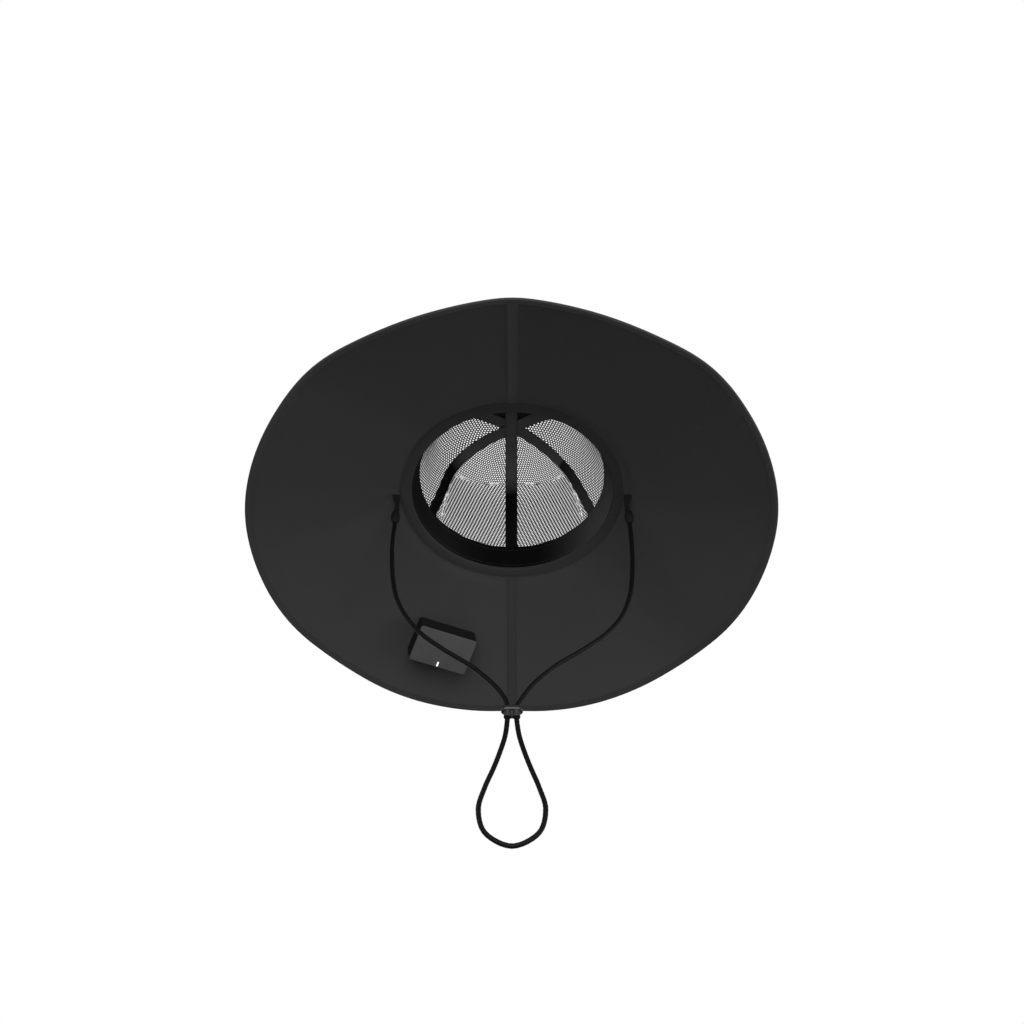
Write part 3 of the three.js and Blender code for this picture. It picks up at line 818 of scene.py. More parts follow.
def new_tree(name, inputs):
    """An empty Geometry Nodes tree with named inputs, and those inputs as wires."""
    tree = bpy.data.node_groups.new(name, "GeometryNodeTree")
    tree.interface.new_socket("Geometry", in_out="INPUT", socket_type="NodeSocketGeometry")
    tree.interface.new_socket("Geometry", in_out="OUTPUT", socket_type="NodeSocketGeometry")
    for label, kind in inputs:
        tree.interface.new_socket(label, in_out="INPUT", socket_type="NodeSocket" + kind)
    graph = Graph(tree)
    entry = tree.nodes.new("NodeGroupInput")
    wires = {output.name: Wire(graph, output) for output in entry.outputs if output.name}
    return graph, wires


def close_tree(graph, geometry, material):
    """Ends a tree in Realize Instances and Set Material."""
    real = graph.node("GeometryNodeRealizeInstances", values={"Geometry": geometry})
    painted = graph.node("GeometryNodeSetMaterial", values={"Geometry": real, "Material": material})
    leave = graph.tree.nodes.new("NodeGroupOutput")
    graph.feed(leave.inputs["Geometry"], painted)
    return graph.tree


def grown(host, tree, name, material, **values):
    """Runs a tree on a host object and returns the result as a plain mesh piece."""
    modifier = host.modifiers.new(name, "NODES")
    modifier.node_group = tree
    values = {**values, "Material": material}
    for item in tree.interface.items_tree:
        if item.item_type == "SOCKET" and item.in_out == "INPUT" and item.name in values:
            modifier[item.identifier] = values[item.name]
    return evaluated(host, name, material)


def net_tree():
    """A knitted net: a staggered lattice of holes, laid on a host surface by its UV map."""
    graph, given = new_tree("knitted_net", [
        ("Spread", "Float"),
        ("Hole pitch", "Float"),
        ("Row pitch", "Float"),
        ("Open share", "Float"),
        ("Strand", "Float"),
        ("Turn", "Float"),
        ("Middle", "Float"),
        ("Map scale", "Float"),
        ("Material", "Material"),
    ])
    columns = (given["Spread"] / given["Hole pitch"]).floor()
    rows = (given["Spread"] / given["Row pitch"]).floor()
    grid = graph.node("GeometryNodeMeshGrid", values={
        "Size X": columns * given["Hole pitch"],
        "Size Y": rows * given["Row pitch"],
        "Vertices X": columns + 1.0,
        "Vertices Y": rows + 1.0,
    })
    place = graph.node("GeometryNodeInputPosition")
    height = graph.node("ShaderNodeSeparateXYZ", values={0: place}, output="Y")
    row = (height / given["Row pitch"] + 0.25).floor()
    shift = (row % 2.0) * given["Hole pitch"] * 0.5
    offset = graph.node("ShaderNodeCombineXYZ", values={"X": shift})
    staggered = graph.node("GeometryNodeSetPosition", values={"Geometry": grid, "Offset": offset})
    thirds = graph.node("GeometryNodeTriangulate", values={"Mesh": staggered})
    cells = graph.node("GeometryNodeDualMesh", values={"Mesh": thirds})
    turned = graph.node("ShaderNodeVectorRotate", {"rotation_type": "Z_AXIS"}, {
        "Vector": place,
        "Angle": given["Turn"],
    })
    lift = graph.node("ShaderNodeCombineXYZ", values={"Y": given["Middle"]})
    flat = graph.node("ShaderNodeVectorMath", {"operation": "ADD"}, {0: turned, 1: lift})
    laid = graph.node("GeometryNodeSetPosition", values={"Geometry": cells, "Position": flat})
    scaled = graph.node("ShaderNodeVectorMath", {"operation": "SCALE"}, {
        0: place,
        "Scale": given["Map scale"],
    })
    centred = graph.node("ShaderNodeVectorMath", {"operation": "ADD"}, {0: scaled, 1: (0.5, 0.0, 0.0)})
    map_at = graph.node("GeometryNodeInputNamedAttribute", {"data_type": "FLOAT_VECTOR"}, {"Name": "cloth"})
    sample = graph.node("GeometryNodeSampleUVSurface", {"data_type": "FLOAT_VECTOR"}, {
        "Mesh": given["Geometry"],
        "Value": place,
        "Source UV Map": map_at,
        "Sample UV": centred,
    })
    missed = graph.node("FunctionNodeBooleanMath", {"operation": "NOT"}, {0: sample.output("Is Valid")})
    kept = graph.node("GeometryNodeStoreNamedAttribute", {"data_type": "FLOAT_VECTOR", "domain": "POINT"}, {
        "Geometry": laid,
        "Name": "seat",
        "Value": sample.output("Value"),
    })
    trimmed = graph.node("GeometryNodeDeleteGeometry", {"domain": "POINT"}, {
        "Geometry": kept,
        "Selection": missed,
    })
    seat = graph.node("GeometryNodeInputNamedAttribute", {"data_type": "FLOAT_VECTOR"}, {"Name": "seat"})
    seated = graph.node("GeometryNodeSetPosition", values={"Geometry": trimmed, "Position": seat})
    extrude = graph.node("GeometryNodeExtrudeMesh", {"mode": "FACES"}, {
        "Mesh": seated,
        "Offset Scale": 0.0,
        "Individual": True,
    })
    top = extrude.output("Top")
    shrunk = graph.node("GeometryNodeScaleElements", {"domain": "FACE"}, {
        "Geometry": extrude.output("Mesh"),
        "Selection": top,
        "Scale": given["Open share"],
    })
    strands = graph.node("GeometryNodeDeleteGeometry", {"domain": "FACE"}, {
        "Geometry": shrunk,
        "Selection": top,
    })
    raised = graph.node("GeometryNodeExtrudeMesh", {"mode": "FACES"}, {
        "Mesh": strands,
        "Offset Scale": given["Strand"],
        "Individual": False,
    })
    backs = graph.node("GeometryNodeFlipFaces", values={"Mesh": strands})
    both = graph.tree.nodes.new("GeometryNodeJoinGeometry")
    graph.feed(both.inputs[0], raised)
    graph.feed(both.inputs[0], backs)
    closed = graph.node("GeometryNodeMergeByDistance", values={
        "Geometry": Wire(graph, both.outputs[0]),
        "Distance": 0.02 * MM,
    })
    return close_tree(graph, closed, given["Material"])


def stitch_tree():
    """Stitches laid end to end along the host's edges."""
    graph, given = new_tree("stitch_run", [
        ("Pitch", "Float"),
        ("Stitch", "Float"),
        ("Thread", "Float"),
        ("Material", "Material"),
    ])
    runs = graph.node("GeometryNodeMeshToCurve", values={"Mesh": given["Geometry"]})
    spaced = graph.node("GeometryNodeResampleCurve", {"mode": "LENGTH"}, {
        "Curve": runs,
        "Length": given["Pitch"],
    })
    bead = graph.node("GeometryNodeMeshUVSphere", values={"Segments": 6, "Rings": 4, "Radius": 0.5})
    size = graph.node("ShaderNodeCombineXYZ", values={
        "X": given["Stitch"],
        "Y": given["Thread"],
        "Z": given["Thread"],
    })
    tangent = graph.node("GeometryNodeInputTangent")
    turn = graph.node("FunctionNodeAlignRotationToVector", {"axis": "X"}, {"Vector": tangent})
    sewn = graph.node("GeometryNodeInstanceOnPoints", values={
        "Points": spaced,
        "Instance": bead,
        "Rotation": turn,
        "Scale": size,
    })
    return close_tree(graph, sewn, given["Material"])


NET_TREE = net_tree()
STITCH_TREE = stitch_tree()


def stitches(name, runs, pitch=3.2, stitch=2.5, thread=0.5, slot="brim_cloth"):
    """Stitches along runs, which are pairs of a point list and whether it closes on itself."""
    points = []
    edges = []
    for line, closed in runs:
        start = sum(len(part) for part in points)
        points.append(line)
        edges += [(start + k, start + k + 1) for k in range(len(line) - 1)]
        if closed:
            edges.append((start + len(line) - 1, start))
    mesh = bpy.data.meshes.new(name)
    mesh.from_pydata((np.vstack(points) * MM).tolist(), edges, [])
    host = add_piece(name + "_path", mesh, THREAD)
    sizes = {"Pitch": pitch * MM, "Stitch": stitch * MM, "Thread": thread * MM}
    sewn = grown(host, STITCH_TREE, name, THREAD, **sizes)
    sewn.data.shade_smooth()
    return settle(sewn, slot)


# Camera, lights and floor

def add_camera():
    """Below the hat and in front of it, looking up into the crown."""
    photo_focal = 1764.8
    photo_width = 1024.0
    elevation = math.radians(50.633)
    data = bpy.data.cameras.new("photo_camera")
    data.sensor_fit = "HORIZONTAL"
    data.sensor_width = 36.0
    data.lens = photo_focal / photo_width * data.sensor_width
    data.clip_end = 30.0
    heading = Vector((0.0, math.cos(elevation), math.sin(elevation)))
    bpy.context.scene.camera = aimed("photo_camera", data, (0.0, -1.0015, -1.2478), heading)


def aimed(name, data, place, heading):
    """A camera or a light that stands at a place, in metres, and points along a heading."""
    thing = bpy.data.objects.new(name, data)
    thing.location = place
    thing.rotation_euler = heading.to_track_quat("-Z", "Y").to_euler()
    bpy.context.scene.collection.objects.link(thing)
    return thing


def add_area_light(name, place, target, size, power):
    """A round soft light."""
    data = bpy.data.lights.new(name, "AREA")
    data.shape = "DISK"
    data.size = size
    data.energy = power
    aimed(name, data, place, Vector(target) - Vector(place))


def add_spot_light(name, place, target, size, power):
    """A soft lamp on the hat alone."""
    data = bpy.data.lights.new(name, "SPOT")
    data.spot_size = math.radians(20.0)
    data.spot_blend = 0.6
    data.shadow_soft_size = size
    data.energy = power
    aimed(name, data, place, Vector(target) - Vector(place))


def add_world(strength, shine):
    """A white backdrop. strength is its light on the hat, and shine its light in glossy parts."""
    world = bpy.data.worlds.new("studio")
    world.use_nodes = True
    graph = Graph(world.node_tree)
    world.node_tree.nodes.clear()
    white = (1.0, 1.0, 1.0, 1.0)
    backdrop, soft, glossy = (
        graph.node("ShaderNodeBackground", values={"Color": white, "Strength": power})
        for power in (1.0, strength, shine)
    )
    seen = graph.node("ShaderNodeLightPath", output="Is Camera Ray")
    unseen = graph.node("ShaderNodeMixShader", values={0: seen.output("Is Glossy Ray"), 1: soft, 2: glossy})
    mixed = graph.node("ShaderNodeMixShader", values={0: seen, 1: unseen, 2: backdrop})
    leave = world.node_tree.nodes.new("ShaderNodeOutputWorld")
    graph.feed(leave.inputs["Surface"], mixed)
    bpy.context.scene.world = world


def add_floor(height):
    """A pale floor, in metres, that looks as bright as the backdrop to the camera alone."""
    half = 3.0
    mesh = bpy.data.meshes.new("studio_floor")
    corners = [(-half, -half, height), (half, -half, height), (half, half, height), (-half, half, height)]
    mesh.from_pydata(corners, [], [(0, 1, 2, 3)])
    finish = Finish("studio_floor", (0.8, 0.8, 0.79), 0.8, Emission_Strength=0.5)
    finish.set("Emission Color", finish.node("ShaderNodeLightPath", output="Is Camera Ray"))
    finish.set("Base Color", finish.shade(finish.noise(finish.place(), 900.0), 0.97, 1.02))
    add_piece("studio_floor", mesh, finish.material)


add_camera()
add_world(strength=0.12, shine=0.5)
add_floor(height=-1.7)
add_area_light("front_softbox", (0.0, -2.0, -0.6), (0.0, 0.0, -0.1), 2.2, 62.0)
add_area_light("side_fill", (1.4, -0.2, -0.5), (0.0, 0.0, 0.0), 1.0, 8.5)
add_spot_light("top_left_spot", (-1.3, -0.5, 1.9), (0.0, 0.0, 0.0), 0.4, 60.0)
add_spot_light("top_back_spot", (0.9, 1.1, 1.9), (0.0, 0.0, 0.0), 0.4, 45.0)
bpy.context.scene.view_settings.view_transform = "Standard"


# Chin cord and its toggle

def cord_line(step):
    """The cord's centre line, with points about step apart."""
    route = smooth_line(CORD_ROUTE, 60)
    line = np.stack([route[:, 0], np.zeros(len(route)), route[:, 1]], axis=-1)
    lengths = run_lengths(line)
    marks = np.linspace(0.0, lengths[-1], int(lengths[-1] / step) + 1)
    return np.stack([np.interp(marks, lengths, line[:, k]) for k in range(3)], axis=-1)


def make_cord(toggle):
    """A round braid whose strands cross over and under, through the toggle."""
    relief = 0.07
    lay_length = 8.5
    sides = 20
    strands = 8
    line = cord_line(0.6)
    tangent = np.gradient(line, axis=0)
    tangent /= np.linalg.norm(tangent, axis=1)[:, None]
    across = np.stack([-tangent[:, 2], np.zeros(len(line)), tangent[:, 0]], axis=-1)
    forward = np.array([0.0, 1.0, 0.0])
    run = run_lengths(line)[:, None]
    turn = np.linspace(0.0, 2.0 * math.pi, sides, endpoint=False)[None, :]
    lay = run * (2.0 * math.pi / lay_length)
    over = np.cos(turn * strands / 2.0 + lay) * np.cos(turn * strands / 2.0 - lay)
    radius = CORD_DIAMETER / 2.0 - relief + relief * over
    ring = radius[..., None] * (
        np.cos(turn)[..., None] * across[:, None, :] + np.sin(turn)[..., None] * forward[None, None, :]
    )
    piece = add_piece("braided_chin_cord", swept("braided_chin_cord", line[:, None, :] + ring), CORD_BRAID)
    settle(piece, "cord_braid", "chin_cord")
    path = cord_line(2.0) * MM


def stadium(width, depth, count):
    """A flat outline with round ends, centred on the axis."""
    radius = depth / 2.0
    reach = width / 2.0 - radius
    turn = np.linspace(0.0, 2.0 * math.pi, count, endpoint=False)
    x = radius * np.cos(turn) + np.where(np.cos(turn) >= 0.0, reach, -reach)
    return np.stack([x, radius * np.sin(turn)], axis=-1)


def rounded_top(high, radius, steps, inset=0.0):
    """Heights and insets of a side wall's upper edge, rounded."""
    turn = np.linspace(0.0, math.pi / 2.0, steps)
    return [(high - radius * (1.0 - math.sin(t)), inset + radius * (1.0 - math.cos(t))) for t in turn]


def rounded_levels(low, high, radius, steps):
    """Heights and insets of a side wall whose two edges are rounded."""
    below = [(low - height, inset) for height, inset in rounded_top(0.0, radius, steps)[::-1]]
    return below + rounded_top(high, radius, steps)


def cylinder_between(name, centre, low, high, radius):
    """An upright cylinder with softened edges."""
    sides = 40
    edge = 0.35
    turn = np.linspace(0.0, 2.0 * math.pi, sides, endpoint=False)
    sections = []
    for height, inset in rounded_levels(low, high, edge, 4):
        ring = (radius - inset) * np.stack([np.cos(turn), np.sin(turn)], axis=-1)
        sections.append(np.column_stack([ring + np.asarray(centre), np.full(sides, height)]))
    return swept(name, sections)


def combine(target, others, operation):
    """Joins the other pieces to the target or cuts them from it."""
    for other in others:
        cut = target.modifiers.new(other.name, "BOOLEAN")
        cut.operation = operation
        cut.solver = "EXACT"
        cut.object = other


def finished(target, name, material, helpers, sharp):
    """Applies the modifiers, takes the helper pieces out of the scene and smooths the result."""
    piece = evaluated(target, name, material)
    for helper in helpers:
        bpy.data.objects.remove(helper)
    piece.data.shade_smooth()
    piece.data.set_sharp_from_angle(angle=math.radians(sharp))
    return piece


def make_toggle():
    """An oval flange that droops at its ends, over two short barrels with a web between them."""
    bottom, top = (corner.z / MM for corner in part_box("chin_toggle"))
    width = 17.2
    depth = 8.0
    thickness = 4.8
    edge = 1.4
    droop = 1.4
    spacing = 7.2
    barrel = 3.0
    bore = 2.4
    overrun = 3.0
    sections = []
    for height, inset in rounded_levels(top - thickness, top, edge, 6):
        outline = stadium(width - 2.0 * inset, depth - 2.0 * inset, 72)
        fall = droop * (outline[:, 0] / (width / 2.0)) ** 2
        sections.append(np.column_stack([outline, height - fall]))
    flange = add_piece("slider_flange", swept("slider_flange", sections), TOGGLE_PLASTIC)
    parts = []
    holes = []
    for x in (-spacing / 2.0, spacing / 2.0):
        mesh = cylinder_between("barrel", (x, 0.0), bottom, top - thickness / 2.0, barrel)
        parts.append(add_piece("slider_barrel", mesh, TOGGLE_PLASTIC))
        mesh = cylinder_between("bore", (x, 0.0), bottom - overrun, top + overrun, bore)
        holes.append(add_piece("slider_bore", mesh, TOGGLE_PLASTIC))
    outline = stadium(spacing, barrel, 24)
    levels = (bottom + 0.3, top - thickness / 2.0)
    web = swept("web", [np.column_stack([outline, np.full(len(outline), level)]) for level in levels])
    parts.append(add_piece("slider_web", web, TOGGLE_PLASTIC))
    combine(flange, parts, "UNION")
    combine(flange, holes, "DIFFERENCE")
    soften = flange.modifiers.new("soft_edges", "BEVEL")
    soften.width = 0.18 * MM
    soften.segments = 2
    soften.limit_method = "ANGLE"
    soften.angle_limit = math.radians(50.0)
    toggle = finished(flange, "cord_slider", TOGGLE_PLASTIC, parts + holes, 45.0)
    return settle(toggle, "toggle_plastic", "chin_toggle")


make_cord(make_toggle())


# Brim, its rim binding, seam tapes and facing ring

def facet_columns():
    """Azimuths of the brim's columns, closer together beside each seam."""
    near_seam = [0.0, 0.12, 0.3, 0.55, 0.9, 1.5, 2.5]
    middle = list(np.arange(4.0, FACET_ANGLE / 2.0, 1.85))
    half = near_seam + middle + [FACET_ANGLE / 2.0]
    whole = half + [FACET_ANGLE - a for a in half[-2:0:-1]]
    return np.concatenate([np.array(whole) + k * FACET_ANGLE for k in range(FACETS)])


def rim_roll(azimuths, reach, radius, steps):
    """Arcs of points round the brim's rolled rim, from reach degrees below it to reach degrees above it."""
    turn = np.radians(np.linspace(-reach, reach, steps))[None, :]
    centre = BRIM_RADIUS - ROLL_RADIUS
    middle = underside(centre, azimuths) + wall_height(centre) / 2.0
    return brim_point(centre + radius * np.cos(turn), azimuths, middle + radius * np.sin(turn))


def make_brim():
    """The whole brim: two faces, a rolled rim and a plain inner edge at the head hole."""
    azimuths = facet_columns()[:, None]
    radii = np.concatenate([
        HEAD_RADIUS + np.array([0.3, 1.2, 3.0]),
        np.linspace(SEAT_RADIUS, SLOPE_START, 9),
        np.linspace(SLOPE_START + 3.0, BRIM_RADIUS - 8.0, 36),
        BRIM_RADIUS - np.array([6.0, 5.0, 4.0, 3.0]),
    ])[None, :]
    edge = rim_roll(azimuths, 75.0, CLOTH_ROLL, 6)
    inner_edge = around(HEAD_RADIUS + 0.05, azimuths, np.array([[1.4, 0.7]]))
    faces = (brim_under(radii, azimuths), edge, brim_over(radii, azimuths)[:, ::-1], inner_edge)
    sections = np.concatenate(faces, axis=1)
    mesh = swept("brim_cloth_body", sections, ring=True, sharp=50.0)
    set_facet_map(mesh)
    piece = add_piece("faceted_brim", mesh, BRIM_CLOTH)
    settle(piece, "brim_cloth", "brim")


def set_facet_map(mesh):
    """Lays the weave on each facet in its own frame, along its middle line."""
    corners = np.zeros(len(mesh.loops), np.int32)
    mesh.loops.foreach_get("vertex_index", corners)
    places = np.zeros(len(mesh.vertices) * 3)
    mesh.vertices.foreach_get("co", places)
    places = places.reshape(-1, 3)[corners]
    counts = np.zeros(len(mesh.polygons), np.int32)
    mesh.polygons.foreach_get("loop_total", counts)
    owner = np.repeat(np.arange(len(counts)), counts)
    middles = np.zeros(len(mesh.polygons) * 3)
    mesh.polygons.foreach_get("center", middles)
    middles = middles.reshape(-1, 3)[owner]
    azimuth = np.degrees(np.arctan2(middles[:, 0], -middles[:, 1]))
    facing = np.radians((np.floor(azimuth / FACET_ANGLE) + 0.5) * FACET_ANGLE)
    along = places[:, 0] * np.cos(facing) + places[:, 1] * np.sin(facing)
    down = places[:, 0] * np.sin(facing) - places[:, 1] * np.cos(facing)
    mesh.uv_layers[0].data.foreach_set("uv", np.stack([along, down], axis=-1).ravel())


def make_binding():
    """A tape folded over the rim, with a row of stitches on each side."""
    azimuths = facet_columns()[:, None]
    wrap = 0.3
    tuck = -0.1
    from_rim = np.array([[6.5, 5.0, 3.2]])
    stitch_from_rim = 5.2

    def fold(offset):
        """The tape's section, offset outwards from the cloth."""
        flat = BRIM_RADIUS - from_rim
        bend = rim_roll(azimuths, 90.0, CLOTH_ROLL + offset, 11)
        above = brim_over(flat, azimuths, offset)[:, ::-1]
        return np.concatenate([brim_under(flat, azimuths, offset), bend, above], axis=1)

    sections = np.concatenate([fold(wrap), fold(tuck)[:, ::-1]], axis=1)
    mesh = swept("rim_binding", sections, ring=True, sharp=50.0)
    settle(add_piece("rim_binding", mesh, BINDING_CLOTH), "brim_cloth")
    line = BRIM_RADIUS - stitch_from_rim
    runs = [(face(line, azimuths[:, 0], wrap), True) for face in (brim_under, brim_over)]
    stitches("rim_stitches", runs, thread=0.45)


def make_seam_tapes():
    """Flat tapes over the front and back seams, under the brim, each with two rows of stitches."""
    width = 9.5
    thickness = 0.4
    rounding = 0.2
    sunk = 0.2
    stitch_margin = 1.1
    reach = np.concatenate([
        np.linspace(HEAD_RADIUS + 8.0, SLOPE_START, 8),
        np.linspace(SLOPE_START + 4.0, BRIM_RADIUS - 5.5, 30),
    ])[:, None]
    strips = []
    runs = []
    for azimuth in (0.0, 180.0):
        lateral = np.linspace(-width / 2.0, width / 2.0, 9)[None, :]
        place = beside(azimuth, reach, lateral)
        edge = rounding * (np.abs(lateral) > width / 2.0 - 0.1)
        low = brim_under(*place, thickness - edge)
        high = brim_under(*place, -sunk)
        sections = np.concatenate([low, high[:, ::-1]], axis=1)
        strips.append(add_piece("strip", swept("strip", sections, sharp=60.0), BINDING_CLOTH))
        for side in (-1.0, 1.0):
            row = beside(azimuth, reach[:, 0], side * (width / 2.0 - stitch_margin))
            runs.append((brim_under(*row, thickness), False))
    settle(joined("brim_seam_tapes", strips, BINDING_CLOTH), "brim_cloth")
    stitches("brim_seam_stitches", runs, thread=0.4)


def beside(azimuth, reach, lateral):
    """Radii and azimuths of points at a distance beside a straight line that runs outwards."""
    return np.hypot(reach, lateral), azimuth + np.degrees(np.arctan2(lateral, reach))


COLLAR_LIFTS = (  # middle azimuth, spread and height of each soft place
    (0.0, 11.0, 0.9),
    (-48.0, 14.0, 1.1),
    (48.0, 14.0, 1.0),
    (-90.0, 7.0, 0.8),
    (90.0, 7.0, 0.8),
    (150.0, 20.0, 0.3),
)


def collar_lift(azimuth):
    """How far the facing ring's outer edge stands off the brim in its soft places."""
    lift = 0.02
    for centre, spread, height in COLLAR_LIFTS:
        turn = np.mod(azimuth - centre + 180.0, 360.0) - 180.0
        lift = lift + height * np.exp(-((turn / spread) ** 2))
    return lift


def collar_faces(share, azimuths):
    """Heights of the facing ring's two faces, at a share of its width, and how thin it is there. Its outer
    edge lies closer to the brim and is thinner, so that it fades into the brim's cloth."""
    thin = smoothstep(share, 0.6, 1.0)
    gap = GAP * (1.0 - 0.8 * thin)
    wall = COLLAR_THICKNESS * (1.0 - 0.72 * thin)
    lift = collar_lift(azimuths) * smoothstep(share, 0.55, 1.0)
    top = underside(HEAD_RADIUS + COLLAR_WIDTH * share, azimuths) - gap - lift
    return top, top - wall, thin


def make_collar():
    """The facing ring sewn under the brim round the head hole, with a row of stitches at each edge."""
    azimuths = np.linspace(0.0, 360.0, 288, endpoint=False)[:, None]
    share = np.array([[0.0, 0.03, 0.08, 0.15, 0.25, 0.4, 0.6, 0.72, 0.8, 0.88, 0.94, 0.98, 1.0]])
    round_width = 0.15
    round_depth = 0.6
    radii = HEAD_RADIUS + COLLAR_WIDTH * share
    top, bottom, thin = collar_faces(share, azimuths)
    drape = 0.12 * soft_waves(azimuths * 1.6, radii, 17.0, 8) * (1.0 - thin)
    round_in = round_depth * np.clip(1.0 - share / round_width, 0.0, 1.0) ** 2
    upper = around(radii, azimuths, top + drape - 0.3 * round_in)
    lower = around(radii, azimuths, bottom + drape + round_in)
    sections = np.concatenate([lower, upper[:, ::-1]], axis=1)
    mesh = swept("collar_facing", sections, ring=True, sharp=60.0)
    settle(add_piece("collar_facing", mesh, COLLAR_CLOTH), "collar_cloth", "brim_collar")
    runs = []
    for from_hole in (1.6, COLLAR_WIDTH - 1.5):
        _, height, _ = collar_faces(from_hole / COLLAR_WIDTH, azimuths[:, 0])
        runs.append((around(HEAD_RADIUS + from_hole, azimuths[:, 0], height), True))
    stitches("collar_stitches", runs, thread=0.4, slot="collar_cloth")


make_brim()
make_binding()
make_seam_tapes()
make_collar()


# Solar panels: the frame's own plates, with a bound edge round each

def facet_point(azimuth, x, y, height):
    """A point in a facet's frame: x along the brim's round, y down its slope, height above its underside."""
    slope = math.hypot(1.0, BRIM_FALL)
    out = around(1.0, azimuth, -BRIM_FALL) / slope
    normal = around(BRIM_FALL, azimuth, 1.0) / slope
    along = np.cross(out, normal)
    origin = around(FACET_START, azimuth, 0.0)
    x, y, height = (np.asarray(value)[..., None] for value in np.broadcast_arrays(x, y, height))
    return origin + x * along + y * out + height * normal


def panel_outline(inset):
    """The plate's outline in its facet's frame, shrunk by inset, with round corners."""
    inner_reach = 117.0
    edge_margin = 9.0
    seam_margin = 4.0
    corner = 5.0
    least_corner = 1.0
    slope = math.hypot(1.0, BRIM_FALL)
    half = math.radians(FACET_ANGLE / 2.0)
    arc_radius = BRIM_RADIUS - edge_margin - inset
    low = inner_reach + inset / slope
    seam = (seam_margin + inset) / math.cos(half)
    limit = half - math.asin((seam_margin + inset) / arc_radius)
    arc = np.linspace(limit, -limit, 25)
    reach = np.concatenate([[low, low], arc_radius * np.cos(arc)])
    width = low * math.tan(half) - seam
    across = np.concatenate([[-width, width], arc_radius * np.sin(arc)])
    line = np.stack([across, (reach - FACET_START) * slope], axis=-1)
    corners = {0, 1, 2, len(line) - 1}
    rounded = []
    for k, here in enumerate(line):
        if k not in corners:
            rounded.append(here)
            continue
        cut = max(corner - inset, least_corner)
        towards = []
        for other in (line[k - 1], line[(k + 1) % len(line)]):
            step = other - here
            towards.append(here + step / np.linalg.norm(step) * min(cut, 0.45 * np.linalg.norm(step)))
        for t in np.linspace(0.0, 1.0, 6):
            bend = (1.0 - t) ** 2 * towards[0] + 2.0 * t * (1.0 - t) * here + t ** 2 * towards[1]
            rounded.append(bend)
    return np.array(rounded)


def make_panels():
    """A bound edge round each of the frame's plates, from the brim's face up and over the plate's border."""
    frames = []
    runs = []
    base = BRIM_WALL
    top = BRIM_WALL + GAP + PANEL_THICKNESS
    profile = (  # inset from the plate's outline, and height above the brim's underside
        (-3.6, base - 1.5),
        (-3.6, base + 0.45),
        (-0.5, base + 0.7),
        (0.2, top + 0.25),
        (0.8, top + 0.5),
        (4.2, top + 0.5),
        (4.6, top + 0.3),
        (4.6, top - 0.05),
        (0.3, top - 0.05),
        (-0.3, base - 1.5),
    )
    outlines = [panel_outline(inset) for inset, _ in profile]
    for k in range(FACETS):
        azimuth = (k + 0.5) * FACET_ANGLE
        rings = [
            facet_point(azimuth, outline[:, 0], outline[:, 1], height)
            for outline, (_, height) in zip(outlines, profile)
        ]
        sections = np.stack(rings, axis=1)
        mesh = swept("panel_frame", sections, ring=True, sharp=50.0)
        frames.append(add_piece("panel_frame", mesh, BINDING_CLOTH))
        for inset, height in ((-2.2, base + 0.6), (3.4, top + 0.5)):
            line = panel_outline(inset)
            runs.append((facet_point(azimuth, line[:, 0], line[:, 1], height), True))
        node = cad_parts["solar_panel_%d" % (k + 1)]
        node.data.materials.clear()
        node.data.materials.append(SOLAR)
    settle(joined("panel_bindings", frames, BINDING_CLOTH), "brim_cloth")
    stitches("panel_stitches", runs, pitch=3.4, thread=0.5)


make_panels()


# Crown: band, front cloth gores, net gores and seam tapes

def make_band():
    """The band inside the crown, with a rolled hem at its top and two rows of stitches."""
    azimuths = np.linspace(0.0, 360.0, 288, endpoint=False)[:, None]
    top = CROWN.along_at_height(BAND_TOP)
    share = np.linspace(0.0, 1.0, 26)[None, :]
    stitch_shares = (0.12, 0.83)
    along = share * top
    hem = 0.35 * np.exp(-(((share - 0.93) / 0.06) ** 2))
    groove = 0.25 * np.exp(-(((share - stitch_shares[1]) / 0.02) ** 2))
    ripple = 0.16 * soft_waves(azimuths * 1.6, share * 25.0, 21.0, 5) * smoothstep(share, 0.1, 0.5)
    depth = GAP + TAPE_THICKNESS + GAP
    outer = CROWN.point(along, azimuths, depth)
    inner = CROWN.point(along, azimuths, depth + BAND_WALL + hem - groove + ripple)
    foot = inner[:, :1] - np.array([0.0, 0.0, CROWN_BASE - 0.4])
    heel = outer[:, :1] * np.array([0.995, 0.995, 1.0])
    sections = np.concatenate([heel, outer, inner[:, ::-1], foot], axis=1)
    mesh = swept("head_band", sections, ring=True, sharp=60.0)
    settle(add_piece("head_band", mesh, BAND_CLOTH), "band_cloth", "sweatband")
    runs = []
    for part in stitch_shares:
        line = CROWN.point(part * top, azimuths[:, 0], depth + BAND_WALL + 0.02)
        runs.append((line, True))
    stitches("band_stitches", runs, pitch=3.0, stitch=2.3, thread=0.4, slot="band_cloth")


def gore_patch(gore, row, column, outline=None):
    """A grid on a gore: stations along it, azimuths and radii. It leaves a gap at the gore's seams. An
    outline lays the grid on one piece of the net, and counts from the back tape."""
    apex_radius = 1.5
    row = row * np.ones_like(column)
    column = column * np.ones_like(row)
    if outline:
        row, column = outline(row, column)
        if gore <= GORES // 2:
            column = 1.0 - column
    along = row * float(CROWN.along_at_radius(apex_radius))
    radius = np.maximum(CROWN.radius_at(along), apex_radius)
    trim = np.degrees(np.arcsin(np.minimum(GAP / 2.0 / radius, 0.9)))
    azimuth = (gore - 1) * GORE_ANGLE + trim + (GORE_ANGLE - 2.0 * trim) * column
    return along, azimuth, radius


def shares(rows, columns):
    """A column and a row of even steps from 0 to 1."""
    return np.linspace(0.0, 1.0, rows)[:, None], np.linspace(0.0, 1.0, columns)[None, :]


